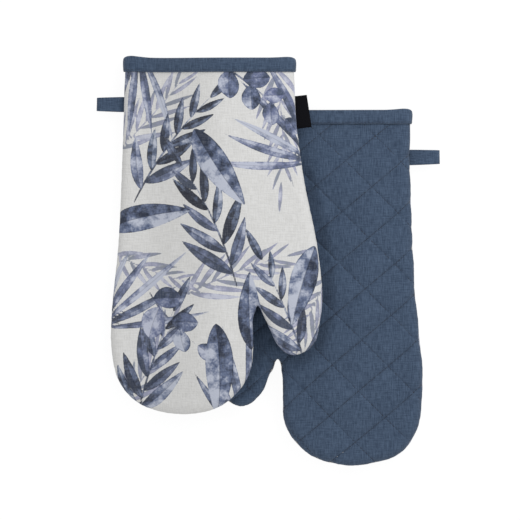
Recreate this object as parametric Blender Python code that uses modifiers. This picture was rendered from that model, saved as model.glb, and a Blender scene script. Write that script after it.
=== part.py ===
"""A pair of quilted oven gloves with one thumb each, lying flat on a table.

Each glove is sewn from a printed outer panel and a quilted outer panel. Each panel has its
own wadding and its own lining, so the hand goes between two linings. A folded binding closes
the cuff, and the side seam holds a hanging loop and a small folded label.

The rear glove lies on its printed face. The front glove lies printed face up and is draped
over the thumb edge of the rear one. Both are the same glove: the rear one is turned half a
turn about its length.

Units are metres, +Z is up and +Y runs from the fingers to the cuffs.
"""
import math

import bmesh
import bpy
from mathutils import Vector

# Overall sizes of one glove
GLOVE_LENGTH = 0.330
GLOVE_WIDTH = 0.1955

# Cloth and filling
OUTER_CLOTH = 0.0009
WADDING = 0.0038
LINING_CLOTH = 0.0007
POCKET_HALF_HEIGHT = 0.005
CLEARANCE = 0.0003

# Rolled side edge and the loft of the face that lies up
EDGE_WIDTH = 0.013
EDGE_RINGS = 2
LOFT = 0.0025
LOFT_REACH = 0.045

# Quilting: diamonds stitched through the outer cloth and its wadding
RISING_ANGLE = math.radians(40.0)
RISING_PITCH = 0.0343
RISING_SHIFT = -0.0148
FALLING_ANGLE = math.radians(-45.0)
FALLING_PITCH = 0.0357
FALLING_SHIFT = 0.0162
WHOLE_DIAMOND_SHARE = 0.4
CHANNEL_DEPTH = 0.0014
CHANNEL_HALF_WIDTH = 0.0045
PILLOW_RISE = 0.0009
QUILT_THREAD_WIDTH = 0.0005
QUILT_THREAD_HEIGHT = 0.0004

# Cuff binding, which squeezes the wadding under it
BINDING_DEPTH = 0.0133
BINDING_CLOTH = 0.0008
CUFF_SQUEEZE = 0.0021
SQUEEZE_RUN = 0.0170
BINDING_STITCH_INSET = 0.0018
BINDING_THREAD_RADIUS = 0.00025

# Side seam
SEAM_THREAD_RADIUS = 0.00035
SEAM_LAP = 0.0026

# Hanging loop
LOOP_REACH = 0.0270
LOOP_TAPE_WIDTH = 0.0135
LOOP_TAPE = 0.0010
LOOP_HALF_GAP = 0.0031
LOOP_ROOT_GAP = 0.0006
LOOP_BELOW_CUFF = 0.0430

# Label, a bare folded ribbon
LABEL_REACH = 0.0105
LABEL_WIDTH = 0.0290
LABEL_RIBBON = 0.0004
LABEL_ROOT_GAP = 0.0004
LABEL_BELOW_CUFF = 0.0500

# How a folded tape opens out: where along it, and how far
BELLY_SHARE = 0.45
BELLY_RISE_SHARE = 0.72
FOLD_STEPS = 4

# How the pair lies: the rear glove is right of the front one and lower
PAIR_STEP_ACROSS = 0.1060
PAIR_STEP_ALONG = 0.0472
DRAPE_RUN = 0.0800
DRAPE_KNOTS = 5
LOFT_CUT_SPACING = 0.0550

TUBE_ROUNDING = 1
STEPS_PER_SPAN = 2
MERGE_DISTANCE = 0.00001

# The glove's edge, printed face up, from the cuff's left end round the fingers and the thumb to
# its right end. Shares of the width from the cuff's middle, and of the length from the cuff.
EDGE_SHARES = (
    (-0.4060, 0.1100), (-0.4145, 0.2720), (-0.4340, 0.5250), (-0.4649, 0.7127),
    (-0.4659, 0.8190), (-0.4298, 0.9088), (-0.3298, 0.9719), (-0.1400, 1.0000),
    (0.0460, 0.9792), (0.1600, 0.9188), (0.1995, 0.8670), (0.2085, 0.8106),
    (0.2094, 0.7262), (0.2284, 0.6964), (0.2579, 0.7276), (0.3204, 0.8053),
    (0.3583, 0.8277), (0.4010, 0.8343), (0.4505, 0.8235), (0.4960, 0.7911),
    (0.5339, 0.6930), (0.5130, 0.5333), (0.4508, 0.3478), (0.4130, 0.1830),
    (0.4060, 0.1100),
)

HALF_SEAM = CLEARANCE / 2
HALF_HEIGHT = (POCKET_HALF_HEIGHT + LINING_CLOTH + CLEARANCE + WADDING + CLEARANCE
               + OUTER_CLOTH + HALF_SEAM)
PANEL_RISE = HALF_HEIGHT - HALF_SEAM

# Where each cloth surface lies: its inset at the seam and its drop below the outer face
OUTER_FACE = (0.0, 0.0)
OUTER_BACK = (OUTER_CLOTH, OUTER_CLOTH)
THREAD_INSET = OUTER_CLOTH + CLEARANCE + SEAM_THREAD_RADIUS
WADDING_FACE = (THREAD_INSET + SEAM_THREAD_RADIUS + CLEARANCE, OUTER_CLOTH + CLEARANCE)
WADDING_BACK = (WADDING_FACE[0] + SEAM_LAP, WADDING_FACE[1] + WADDING)
LINING_FACE = (WADDING_BACK[0] + CLEARANCE, WADDING_BACK[1] + CLEARANCE)
LINING_BACK = (LINING_FACE[0] + LINING_CLOTH, LINING_FACE[1] + LINING_CLOTH)

# The panels end inside the fold of the binding
PANEL_TOP = -(BINDING_CLOTH + CLEARANCE)
BINDING_END = -BINDING_DEPTH
SQUEEZE_END = BINDING_END - SQUEEZE_RUN

PRINTED, QUILTED = 1.0, -1.0


def clear_scene():
    for item in list(bpy.data.objects):
        bpy.data.objects.remove(item, do_unlink=True)


def new_collection(name):
    collection = bpy.data.collections.new(name)
    bpy.context.scene.collection.children.link(collection)
    return collection


def make_material(name, colour, roughness):
    material = bpy.data.materials.new(name)
    material.use_nodes = True
    shader = material.node_tree.nodes["Principled BSDF"]
    shader.inputs["Base Color"].default_value = (*colour, 1.0)
    shader.inputs["Roughness"].default_value = roughness
    shader.inputs["Metallic"].default_value = 0.0
    return material


def smooth_step(value):
    share = min(max(value, 0.0), 1.0)
    return share * share * (3.0 - 2.0 * share)


# Outline of the glove

def spline_span(before, start, end, after, share):
    """A point on the centripetal spline between start and end."""
    times = [0.0]
    for one, two in ((before, start), (start, end), (end, after)):
        times.append(times[-1] + math.sqrt((two - one).length))
    time = times[1] + (times[2] - times[1]) * share

    def between(one, two, low, high):
        return one.lerp(two, (time - times[low]) / (times[high] - times[low]))

    first, second, third = (between(before, start, 0, 1), between(start, end, 1, 2),
                            between(end, after, 2, 3))
    return between(between(first, second, 0, 2), between(second, third, 1, 3), 1, 2)


def outline_points():
    """The edge as points, from the cuff's left end to its right end."""
    knots = [Vector((across * GLOVE_WIDTH, -along * GLOVE_LENGTH)) for across, along in EDGE_SHARES]
    cuff_left, cuff_right = knots[0].x, knots[-1].x
    straight_ends = [PANEL_TOP, BINDING_END, SQUEEZE_END]
    left = [Vector((cuff_left, along)) for along in straight_ends]
    right = [Vector((cuff_right, along)) for along in reversed(straight_ends)]
    padded = [left[-1]] + knots + [right[0]]
    points = list(left)
    for start in range(1, len(padded) - 2):
        for step in range(STEPS_PER_SPAN):
            points.append(spline_span(*padded[start - 1:start + 3], step / STEPS_PER_SPAN))
    return points + [knots[-1]] + right


def inward_normals(points):
    """The direction into the glove at each point, square to the edge."""
    normals = []
    last = len(points) - 1
    for index in range(len(points)):
        along = points[min(index + 1, last)] - points[max(index - 1, 0)]
        normals.append(Vector((-along.y, along.x)).normalized())
    return normals


OUTLINE = outline_points()
NORMALS = inward_normals(OUTLINE)
THUMB_REACH = max(point.x for point in OUTLINE)


def edge_distance(place):
    """How far a point is from the glove's edge."""
    nearest = GLOVE_LENGTH
    for start, end in zip(OUTLINE, OUTLINE[1:]):
        run = end - start
        share = min(max((place - start).dot(run) / run.length_squared, 0.0), 1.0)
        nearest = min(nearest, (place - start - run * share).length)
    return nearest


def edge_point(below_cuff, thumb_side):
    """The point of the edge at a distance below the cuff."""
    spans = list(zip(OUTLINE, OUTLINE[1:]))
    if thumb_side:
        spans.reverse()
    for start, end in spans:
        low, high = sorted((start.y, end.y))
        if low <= -below_cuff <= high:
            return start.lerp(end, (-below_cuff - start.y) / (end.y - start.y))
    raise ValueError("no edge at that distance below the cuff")


def seam_seat(below_cuff, width, thumb_side):
    """Where a tape leaves the seam: a place just clear of the edge, and the way out."""
    upper = edge_point(below_cuff - width / 2.0, thumb_side)
    lower = edge_point(below_cuff + width / 2.0, thumb_side)
    middle = upper.lerp(lower, 0.5)
    out = Vector((upper.y - lower.y, lower.x - upper.x)).normalized()
    if not thumb_side:
        out = -out
    bulge = 0.0
    for point in OUTLINE:
        if lower.y < point.y < upper.y and (point - middle).length < width:
            bulge = max(bulge, (point - middle).dot(out))
    return middle + out * bulge, out


# How the cloth lies

def squeeze_at(along):
    """How much the binding has flattened the face, from full under it to none."""
    return CUFF_SQUEEZE * min(max((along - SQUEEZE_END) / SQUEEZE_RUN, 0.0), 1.0)


def loose_share(along):
    """None at the cuff and one where the cloth is free of it."""
    return smooth_step((SQUEEZE_END - along) / LOFT_REACH)


def loft_at(place):
    rise = smooth_step((edge_distance(place) - EDGE_WIDTH) / LOFT_REACH)
    return LOFT * rise * loose_share(place.y)


class Lie:
    """How one glove lies: which face is up, and how it is draped over the other glove."""

    def __init__(self, name, up_side, drape_height):
        self.name = name
        self.up_side = up_side
        self.drape_height = drape_height
        drape_end = PAIR_STEP_ACROSS - THUMB_REACH + EDGE_WIDTH
        self.drape_start = drape_end - DRAPE_RUN
        self.knots = []
        if drape_height:
            spacing = DRAPE_RUN / DRAPE_KNOTS
            self.knots = [self.drape_start + spacing * knot for knot in range(DRAPE_KNOTS + 1)]

    def lift(self, across):
        """Height of the seam above where it lies flat, in straight steps between knots."""
        if not self.drape_height:
            return 0.0
        share = min(max((across - self.drape_start) / DRAPE_RUN, 0.0), 1.0) * DRAPE_KNOTS
        knot = min(int(share), DRAPE_KNOTS - 1)
        low = smooth_step(knot / DRAPE_KNOTS)
        high = smooth_step((knot + 1) / DRAPE_KNOTS)
        return self.drape_height * (low + (high - low) * (share - knot))


# Cutting patterns

def flat_edge_strip(mesh):
    """The rolled edge as a flat strip of rings, each vertex with its distance and normal."""
    distance = mesh.verts.layers.float.new("distance")
    normal_x = mesh.verts.layers.float.new("normal_x")
    normal_y = mesh.verts.layers.float.new("normal_y")
    columns = len(OUTLINE) - 1
    grid = bmesh.ops.create_grid(mesh, x_segments=columns, y_segments=EDGE_RINGS, size=1.0)
    inner_ring = {}
    for vertex in grid["verts"]:
        column = round((vertex.co.x + 1.0) / 2.0 * columns)
        ring = round((vertex.co.y + 1.0) / 2.0 * EDGE_RINGS)
        inset = EDGE_WIDTH * (1.0 - math.cos(math.pi / 2.0 * ring / EDGE_RINGS))
        place, normal = OUTLINE[column], NORMALS[column]
        vertex.co = (*(place + normal * inset), 0.0)
        if column in (0, columns):
            vertex.co.y = PANEL_TOP
        vertex[distance] = inset
        vertex[normal_x] = normal.x
        vertex[normal_y] = normal.y
        if ring == EDGE_RINGS:
            inner_ring[column] = vertex
            vertex[distance] = EDGE_WIDTH
    return [inner_ring[column] for column in sorted(inner_ring)]


def cut_along(mesh, faces, point, normal):
    """Cuts flat faces along a line, and keeps both sides."""
    geometry = set(faces)
    for face in faces:
        geometry.update(face.edges)
        geometry.update(face.verts)
    bmesh.ops.bisect_plane(mesh, geom=list(geometry), dist=MERGE_DISTANCE,
                           plane_co=(*point, 0.0), plane_no=(*normal, 0.0))


def quilt_families():
    """The two sets of stitching lines: their normal, their spacing and their shift."""
    rising = Vector((math.sin(RISING_ANGLE), math.cos(RISING_ANGLE)))
    falling = Vector((math.sin(FALLING_ANGLE), math.cos(FALLING_ANGLE)))
    return ((rising, RISING_PITCH, RISING_SHIFT), (falling, FALLING_PITCH, FALLING_SHIFT))


def quilt_lines():
    """Each stitching line that crosses the glove, as a normal and a distance from the cuff."""
    lines = []
    for normal, pitch, shift in quilt_families():
        reaches = [normal.dot(point) for point in OUTLINE]
        first = math.ceil((min(reaches) - shift) / pitch)
        last = math.floor((max(reaches) - shift) / pitch)
        lines += [(normal, shift + pitch * line) for line in range(first, last + 1)]
    return lines


def quilt_distance(place):
    """How far a point is from the nearest stitching line."""
    nearest = GLOVE_LENGTH
    for normal, pitch, shift in quilt_families():
        share = (normal.dot(place) - shift) / pitch
        nearest = min(nearest, abs(share - round(share)) * pitch)
    return nearest


def cut_for_bends(mesh, lie):
    """Cuts across the glove where it bends, and where the binding squeezes it."""
    for knot in lie.knots:
        cut_along(mesh, mesh.faces[:], (knot, 0.0), (1.0, 0.0))
    for along in (BINDING_END, SQUEEZE_END):
        cut_along(mesh, inner_faces(mesh), (0.0, along), (0.0, 1.0))


def cut_for_loft(mesh, lie):
    """Cuts the plain face that lies up into a few fields, so that it can swell."""
    along = SQUEEZE_END - LOFT_CUT_SPACING
    while along > -GLOVE_LENGTH:
        cut_along(mesh, inner_faces(mesh), (0.0, along), (0.0, 1.0))
        along -= LOFT_CUT_SPACING
    across = -GLOVE_WIDTH / 2.0
    while across < GLOVE_WIDTH / 2.0:
        if all(abs(across - knot) > LOFT_CUT_SPACING / 2.0 for knot in lie.knots):
            cut_along(mesh, inner_faces(mesh), (across, 0.0), (1.0, 0.0))
        across += LOFT_CUT_SPACING


def inner_faces(mesh):
    """The faces inside the rolled edge."""
    distance = mesh.verts.layers.float["distance"]
    limit = EDGE_WIDTH - MERGE_DISTANCE
    return [face for face in mesh.faces if all(vertex[distance] >= limit for vertex in face.verts)]


def flat_pattern():
    """One panel cut flat: its edge strip and the field inside it."""
    mesh = bmesh.new()
    ring = flat_edge_strip(mesh)
    mesh.faces.new(ring)
    return mesh


def is_convex(face):
    corners = [loop.vert.co.xy for loop in face.loops]
    turns = []
    for index, corner in enumerate(corners):
        before, after = corners[index - 1], corners[(index + 1) % len(corners)]
        turns.append((corner - before).cross(after - corner) * face.normal.z)
    return min(turns) > -MERGE_DISTANCE ** 2


def add_quilting(mesh, kind, crowned):
    """Sinks the stitching lines of a panel, or of its wadding, between pillows."""
    raised = mesh.verts.layers.float.new("raised")
    for normal, reach in quilt_lines():
        cut_along(mesh, inner_faces(mesh), normal * reach, normal)
    field = {vertex for face in inner_faces(mesh) for vertex in face.verts}
    for vertex in field:
        slope_share = min(quilt_distance(vertex.co.xy) / CHANNEL_HALF_WIDTH, 1.0)
        vertex[raised] = CHANNEL_DEPTH * (slope_share - 1.0)
    mesh.normal_update()
    least_area = WHOLE_DIAMOND_SHARE * RISING_PITCH * FALLING_PITCH
    pillows = [face for face in inner_faces(mesh)
               if face.calc_area() > least_area and is_convex(face)]
    if kind == "panel":
        bmesh.ops.inset_individual(mesh, faces=pillows, thickness=CHANNEL_HALF_WIDTH)
        for vertex in {vertex for face in pillows for vertex in face.verts}:
            vertex[raised] = 0.0
    if kind == "wadding" or crowned:
        poked = bmesh.ops.poke(mesh, faces=pillows)
        for vertex in poked["verts"]:
            vertex[raised] = PILLOW_RISE * loose_share(vertex.co.y) if kind == "panel" else 0.0


# Making solids

def finish_object(mesh, name, material, collection, parent):
    bmesh.ops.recalc_face_normals(mesh, faces=mesh.faces[:])
    data = bpy.data.meshes.new(name)
    mesh.to_mesh(data)
    mesh.free()
    data.materials.append(material)
    item = bpy.data.objects.new(name, data)
    collection.objects.link(item)
    item.parent = parent
    return item


def lay_surface(vertices, layers, lie, side, surface, below_loft, follows_quilt):
    """Moves flat vertices onto one cloth surface of the glove."""
    inset, drop = surface
    distance, normal_x, normal_y, raised = layers
    for vertex in vertices:
        flat = vertex.co.xy.copy()
        turn = math.acos(min(max(1.0 - vertex[distance] / EDGE_WIDTH, 0.0), 1.0))
        shift = inset * math.cos(turn)
        height = PANEL_RISE - drop
        if not below_loft:
            height -= squeeze_at(flat.y)
        height *= math.sin(turn)
        if not below_loft and lie.up_side == side:
            height += loft_at(flat)
        if follows_quilt and raised is not None:
            height += vertex[raised]
        across = flat.x + vertex[normal_x] * shift
        along = flat.y + vertex[normal_y] * shift
        if abs(flat.y - PANEL_TOP) < MERGE_DISTANCE:
            along = flat.y
        vertex.co = (across, along, side * (HALF_SEAM + height) + lie.lift(flat.x))


def make_layer(lie, side, kind, surfaces, quilted, material, collection, parent):
    """One layer of a panel: the outer cloth, the wadding or the lining."""
    mesh = flat_pattern()
    if quilted:
        add_quilting(mesh, kind, lie.up_side == side)
    cut_for_bends(mesh, lie)
    if lie.up_side == side and not quilted and kind != "lining":
        cut_for_loft(mesh, lie)
    bmesh.ops.triangulate(mesh, faces=mesh.faces[:])
    names = ("distance", "normal_x", "normal_y")
    layers = [mesh.verts.layers.float[name] for name in names]
    layers.append(mesh.verts.layers.float.get("raised"))
    face_vertices = mesh.verts[:]
    grown = bmesh.ops.extrude_face_region(mesh, geom=mesh.faces[:])
    back_vertices = [item for item in grown["geom"] if isinstance(item, bmesh.types.BMVert)]
    is_lining = kind == "lining"
    lay_surface(face_vertices, layers, lie, side, surfaces[0], is_lining, True)
    lay_surface(back_vertices, layers, lie, side, surfaces[1], kind != "panel", kind == "panel")
    side_name = "printed" if side == PRINTED else "quilted"
    name = f"{lie.name}_{side_name}_{kind}"
    return finish_object(mesh, name, material, collection, parent)


def make_quilting_thread(lie, material, collection, parent):
    """The stitching in the channels, as one net of thin ribbons."""
    mesh = flat_pattern()
    cut_for_bends(mesh, lie)
    inside = set(inner_faces(mesh))
    edge = [face for face in mesh.faces if face not in inside]
    bmesh.ops.delete(mesh, geom=edge, context="FACES")
    for normal, reach in quilt_lines():
        for offset in (-QUILT_THREAD_WIDTH / 2.0, QUILT_THREAD_WIDTH / 2.0):
            cut_along(mesh, mesh.faces[:], normal * (reach + offset), normal)
    spare = [face for face in mesh.faces
             if quilt_distance(face.calc_center_median().xy) > QUILT_THREAD_WIDTH / 2.0]
    bmesh.ops.delete(mesh, geom=spare, context="FACES")
    keep_largest_piece(mesh)
    bmesh.ops.triangulate(mesh, faces=mesh.faces[:])
    names = ("distance", "normal_x", "normal_y")
    layers = [mesh.verts.layers.float[name] for name in names] + [None]
    under = mesh.verts[:]
    grown = bmesh.ops.extrude_face_region(mesh, geom=mesh.faces[:])
    over = [item for item in grown["geom"] if isinstance(item, bmesh.types.BMVert)]
    low = CHANNEL_DEPTH - CLEARANCE
    lay_surface(under, layers, lie, QUILTED, (0.0, low), False, False)
    lay_surface(over, layers, lie, QUILTED, (0.0, low - QUILT_THREAD_HEIGHT), False, False)
    return finish_object(mesh, f"{lie.name}_quilting_thread", material, collection, parent)


def keep_largest_piece(mesh):
    """Drops short thread ends that meet no other stitching line."""
    left = set(mesh.faces)
    pieces = []
    while left:
        piece, edge_of = set(), [left.pop()]
        while edge_of:
            face = edge_of.pop()
            piece.add(face)
            for edge in face.edges:
                for other in edge.link_faces:
                    if other in left:
                        left.remove(other)
                        edge_of.append(other)
        pieces.append(piece)
    pieces.sort(key=len)
    spare = [face for piece in pieces[:-1] for face in piece]
    bmesh.ops.delete(mesh, geom=spare, context="FACES")


def cuff_stations(lie):
    """Places round the mouth: a distance from the side edge, a place across and a side."""
    left, right = OUTLINE[0].x, OUTLINE[-1].x
    turns = [math.pi / 2.0 * ring / EDGE_RINGS for ring in range(EDGE_RINGS + 1)]
    row = [(turn, left, 1.0) for turn in turns]
    row += [(math.pi / 2.0, knot, 0.0) for knot in lie.knots]
    row += [(turn, right, -1.0) for turn in reversed(turns)]
    upper = [(turn, base, inward, 1.0) for turn, base, inward in row]
    lower = [(turn, base, inward, -1.0) for turn, base, inward in reversed(row[1:-1])]
    return upper + lower


def cuff_point(lie, station, inset, drop, along):
    """A point at one station round the mouth, at an inset and a drop from the outer face."""
    turn, base, inward, side = station
    flat_inset = EDGE_WIDTH * (1.0 - math.cos(turn))
    flat_x = base + inward * flat_inset
    across = flat_x + inward * inset * math.cos(turn)
    height = (HALF_HEIGHT - drop) * math.sin(turn)
    return Vector((across, along, side * height + lie.lift(flat_x)))


def ring_of_sections(mesh, rows):
    """A closed tube from rows of points: each row is a section, and the last meets the first."""
    columns, sections = len(rows[0]), len(rows)
    grid = bmesh.ops.create_grid(mesh, x_segments=columns, y_segments=sections, size=1.0)
    for vertex in grid["verts"]:
        column = round((vertex.co.x + 1.0) / 2.0 * columns) % columns
        section = round((vertex.co.y + 1.0) / 2.0 * sections) % sections
        vertex.co = rows[section][column]
    bmesh.ops.remove_doubles(mesh, verts=mesh.verts[:], dist=MERGE_DISTANCE)


def make_binding(lie, material, collection, parent):
    """The folded strip that wraps the raw edges of all six layers round the mouth."""
    near = -CLEARANCE
    far = -(CLEARANCE + BINDING_CLOTH)
    in_near = (LINING_BACK[0] + CLEARANCE, LINING_BACK[1] + CLEARANCE)
    in_far = (in_near[0] + BINDING_CLOTH, in_near[1] + BINDING_CLOTH)
    fold_low = PANEL_TOP + CLEARANCE
    profile = (
        ((far, CUFF_SQUEEZE + far), BINDING_END),
        ((far, CUFF_SQUEEZE + far), fold_low),
        ((near, CUFF_SQUEEZE + near), 0.0),
        ((in_near[0], in_near[1]), 0.0),
        ((in_far[0], in_far[1]), fold_low),
        ((in_far[0], in_far[1]), BINDING_END),
        ((in_near[0], in_near[1]), BINDING_END),
        ((in_near[0], in_near[1]), fold_low),
        ((near, CUFF_SQUEEZE + near), fold_low),
        ((near, CUFF_SQUEEZE + near), BINDING_END),
    )
    mesh = bmesh.new()
    rows = [[cuff_point(lie, station, inset, drop, along) for (inset, drop), along in profile]
            for station in cuff_stations(lie)]
    ring_of_sections(mesh, rows)
    return finish_object(mesh, f"{lie.name}_cuff_binding", material, collection, parent)


def make_tube(name, points, radius, closed, material, collection, parent):
    """A thread as a curve through its points."""
    curve = bpy.data.curves.new(name, "CURVE")
    curve.dimensions = "3D"
    curve.bevel_depth = radius
    curve.bevel_resolution = TUBE_ROUNDING
    curve.use_fill_caps = not closed
    spline = curve.splines.new("POLY")
    spline.points.add(len(points) - 1)
    spline.use_cyclic_u = closed
    for target, point in zip(spline.points, points):
        target.co = (*point, 1.0)
    curve.materials.append(material)
    item = bpy.data.objects.new(name, curve)
    collection.objects.link(item)
    item.parent = parent
    return item


def edge_with_bends(lie):
    """The glove's edge and its normals, with a point added wherever the glove bends."""
    stops = [(OUTLINE[0], NORMALS[0])]
    spans = zip(OUTLINE, OUTLINE[1:], NORMALS, NORMALS[1:])
    for start, end, start_normal, end_normal in spans:
        low, high = sorted((start.x, end.x))
        shares = [(knot - start.x) / (end.x - start.x) for knot in lie.knots if low < knot < high]
        for share in sorted(shares):
            stops.append((start.lerp(end, share), start_normal.lerp(end_normal, share)))
        stops.append((end, end_normal))
    return stops


def make_seam_thread(lie, material, collection, parent):
    """The side seam's stitching, between the outer cloth and the wadding."""
    points = []
    for place, normal in edge_with_bends(lie):
        spot = place + normal * THREAD_INSET
        if place in (OUTLINE[0], OUTLINE[-1]):
            spot.y = PANEL_TOP
        points.append(Vector((*spot, lie.lift(place.x))))
    return make_tube(f"{lie.name}_seam_thread", points, SEAM_THREAD_RADIUS, False,
                     material, collection, parent)


def make_binding_thread(lie, material, collection, parent):
    """The row of stitching round the binding, near its lower edge."""
    out = CLEARANCE + BINDING_CLOTH + CLEARANCE + BINDING_THREAD_RADIUS
    along = BINDING_END + BINDING_STITCH_INSET
    points = [cuff_point(lie, station, -out, CUFF_SQUEEZE - out, along)
              for station in cuff_stations(lie)]
    return make_tube(f"{lie.name}_binding_thread", points, BINDING_THREAD_RADIUS, True,
                     material, collection, parent)


def fold_path(reach, half_gap, root_gap, thickness):
    """The side view of a folded tape: out along the top, round the fold and back below.

    Its origin is where the tape bends, one thickness out from its end, so that the corners of
    its end stay clear of the glove's edge when it swings.
    """
    root = -thickness
    middle = half_gap + thickness / 2.0
    start = HALF_SEAM + thickness / 2.0
    centre = reach - root_gap - thickness - thickness / 2.0 - middle
    top = [Vector((root, 0.0, start)),
           Vector((root + (centre - root) * BELLY_SHARE, 0.0,
                   start + (middle - start) * BELLY_RISE_SHARE)),
           Vector((centre, 0.0, middle))]
    fold = []
    for step in range(1, FOLD_STEPS):
        turn = math.pi / 2.0 - math.pi * step / FOLD_STEPS
        fold.append(Vector((centre + middle * math.cos(turn), 0.0, middle * math.sin(turn))))
    below = [Vector((point.x, 0.0, -point.z)) for point in reversed(top)]
    return top + fold + below


def make_folded_tape(lie, name, path, width, thickness, root, out, material, collection, parent):
    """A folded tape with its origin where it bends, just outside the seam that holds it."""
    mesh = bmesh.new()
    spans = len(path) - 1
    grid = bmesh.ops.create_grid(mesh, x_segments=spans, y_segments=1, size=1.0)
    for vertex in grid["verts"]:
        column = round((vertex.co.x + 1.0) / 2.0 * spans)
        half = math.copysign(width / 2.0, vertex.co.y)
        vertex.co = path[column] + Vector((0.0, half, 0.0))
    item = finish_object(mesh, f"{lie.name}_{name}", material, collection, parent)
    item.location = (*root, lie.lift(root.x))
    item.rotation_euler = (0.0, 0.0, math.atan2(out.y, out.x))
    shell = item.modifiers.new("cloth", "SOLIDIFY")
    shell.thickness = thickness
    shell.offset = 0.0
    shell.use_even_offset = True
    return item


def make_glove(lie, materials, collection, place, turned):
    """Every piece of one glove, hung on an empty at the middle of its cuff."""
    parent = bpy.data.objects.new(f"{lie.name}_glove_place", None)
    collection.objects.link(parent)
    parent.location = place
    parent.rotation_euler = (0.0, math.pi if turned else 0.0, 0.0)
    faces = {
        "panel": (OUTER_FACE, OUTER_BACK),
        "wadding": (WADDING_FACE, WADDING_BACK),
        "lining": (LINING_FACE, LINING_BACK),
    }
    for side, outer in ((PRINTED, "print"), (QUILTED, "chambray")):
        for kind, surfaces in faces.items():
            quilted = side == QUILTED and kind != "lining"
            cloth = materials[outer if kind == "panel" else kind]
            make_layer(lie, side, kind, surfaces, quilted, cloth, collection, parent)
    make_quilting_thread(lie, materials["thread"], collection, parent)
    make_seam_thread(lie, materials["thread"], collection, parent)
    make_binding(lie, materials["chambray"], collection, parent)
    make_binding_thread(lie, materials["thread"], collection, parent)
    loop_seat, loop_out = seam_seat(LOOP_BELOW_CUFF, LOOP_TAPE_WIDTH, thumb_side=False)
    make_folded_tape(lie, "hanging_loop",
                     fold_path(LOOP_REACH, LOOP_HALF_GAP, LOOP_ROOT_GAP, LOOP_TAPE),
                     LOOP_TAPE_WIDTH, LOOP_TAPE,
                     loop_seat + loop_out * (LOOP_ROOT_GAP + LOOP_TAPE), loop_out,
                     materials["chambray"], collection, parent)
    label_seat, label_out = seam_seat(LABEL_BELOW_CUFF, LABEL_WIDTH, thumb_side=True)
    make_folded_tape(lie, "side_label",
                     fold_path(LABEL_REACH, HALF_SEAM, LABEL_ROOT_GAP, LABEL_RIBBON),
                     LABEL_WIDTH, LABEL_RIBBON,
                     label_seat + label_out * (LABEL_ROOT_GAP + LABEL_RIBBON), label_out,
                     materials["label"], collection, parent)


def main():
    clear_scene()
    collection = new_collection("oven_gloves")
    materials = {
        "print": make_material("printed_cotton_linen", (0.62, 0.63, 0.62), 0.9),
        "chambray": make_material("blue_chambray", (0.065, 0.095, 0.150), 0.92),
        "wadding": make_material("cotton_wadding", (0.78, 0.76, 0.70), 1.0),
        "lining": make_material("plain_cotton_lining", (0.55, 0.56, 0.58), 0.9),
        "thread": make_material("blue_sewing_thread", (0.030, 0.045, 0.080), 0.7),
        "label": make_material("black_woven_ribbon", (0.006, 0.006, 0.009), 0.7),
    }
    rear_height = 2.0 * HALF_HEIGHT + LOFT
    front = Lie("front", PRINTED, rear_height + PILLOW_RISE + CLEARANCE)
    rear = Lie("rear", QUILTED, 0.0)
    half_across = PAIR_STEP_ACROSS / 2.0
    cuff_middle = (GLOVE_LENGTH - PAIR_STEP_ALONG) / 2.0
    front_along = cuff_middle + PAIR_STEP_ALONG
    make_glove(front, materials, collection, (-half_across, front_along, HALF_HEIGHT), False)
    make_glove(rear, materials, collection, (half_across, cuff_middle, HALF_HEIGHT), True)


main()
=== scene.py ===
# %% [markdown]
# A pair of quilted oven gloves
#
# Two equal gloves lie flat: one shows its printed canvas, the other its quilted chambray.
# Every piece of cloth here starts as a flat cut, as it would on a sewing table. It is then
# rolled over the padding in code, so the weave and the print can follow the cloth.

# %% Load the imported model
import math

import bmesh
import bpy
import numpy as np
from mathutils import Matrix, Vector


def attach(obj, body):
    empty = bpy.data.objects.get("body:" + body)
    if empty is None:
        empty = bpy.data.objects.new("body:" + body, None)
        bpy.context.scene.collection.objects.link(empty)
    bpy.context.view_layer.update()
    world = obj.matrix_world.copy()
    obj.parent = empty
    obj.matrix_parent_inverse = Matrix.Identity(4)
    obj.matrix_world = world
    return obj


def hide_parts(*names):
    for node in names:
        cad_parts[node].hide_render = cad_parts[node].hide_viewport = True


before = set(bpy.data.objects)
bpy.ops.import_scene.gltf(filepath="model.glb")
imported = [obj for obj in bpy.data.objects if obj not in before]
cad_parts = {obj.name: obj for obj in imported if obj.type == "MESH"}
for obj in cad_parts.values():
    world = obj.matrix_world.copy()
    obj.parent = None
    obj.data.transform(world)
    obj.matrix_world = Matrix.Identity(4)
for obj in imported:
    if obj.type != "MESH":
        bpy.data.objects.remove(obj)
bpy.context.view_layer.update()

# %% [markdown]
# Sizes
#
# A glove is sewn from layers, so its sizes are a length, a width and one thickness for each
# layer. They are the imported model's sizes, in metres, because every piece has to fit it. The
# binding squeezes the padding and nips the sides in, and the padding is back to its full
# height a short run below it.

# %% Sizes of one glove
GLOVE_LENGTH = 0.330
GLOVE_WIDTH = 0.1955
OUTER_CLOTH = 0.0009
WADDING = 0.0038
LINING_CLOTH = 0.0007
POCKET_HALF_HEIGHT = 0.005
CLEARANCE = 0.0003
HALF_SEAM = CLEARANCE / 2
HALF_HEIGHT = (POCKET_HALF_HEIGHT + LINING_CLOTH + WADDING + 2 * CLEARANCE
               + OUTER_CLOTH + HALF_SEAM)
EDGE_WIDTH = 0.013
LOFT = 0.0025
LOFT_REACH = 0.045
BINDING_DEPTH = 0.0133
BINDING_CLOTH = 0.0008
CUFF_SQUEEZE = 0.0021
CUFF_NIP, CUFF_NIP_REACH = 0.0008, 0.0120
SQUEEZE_RUN = 0.0170
PANEL_TOP = -(BINDING_CLOTH + CLEARANCE)
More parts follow.
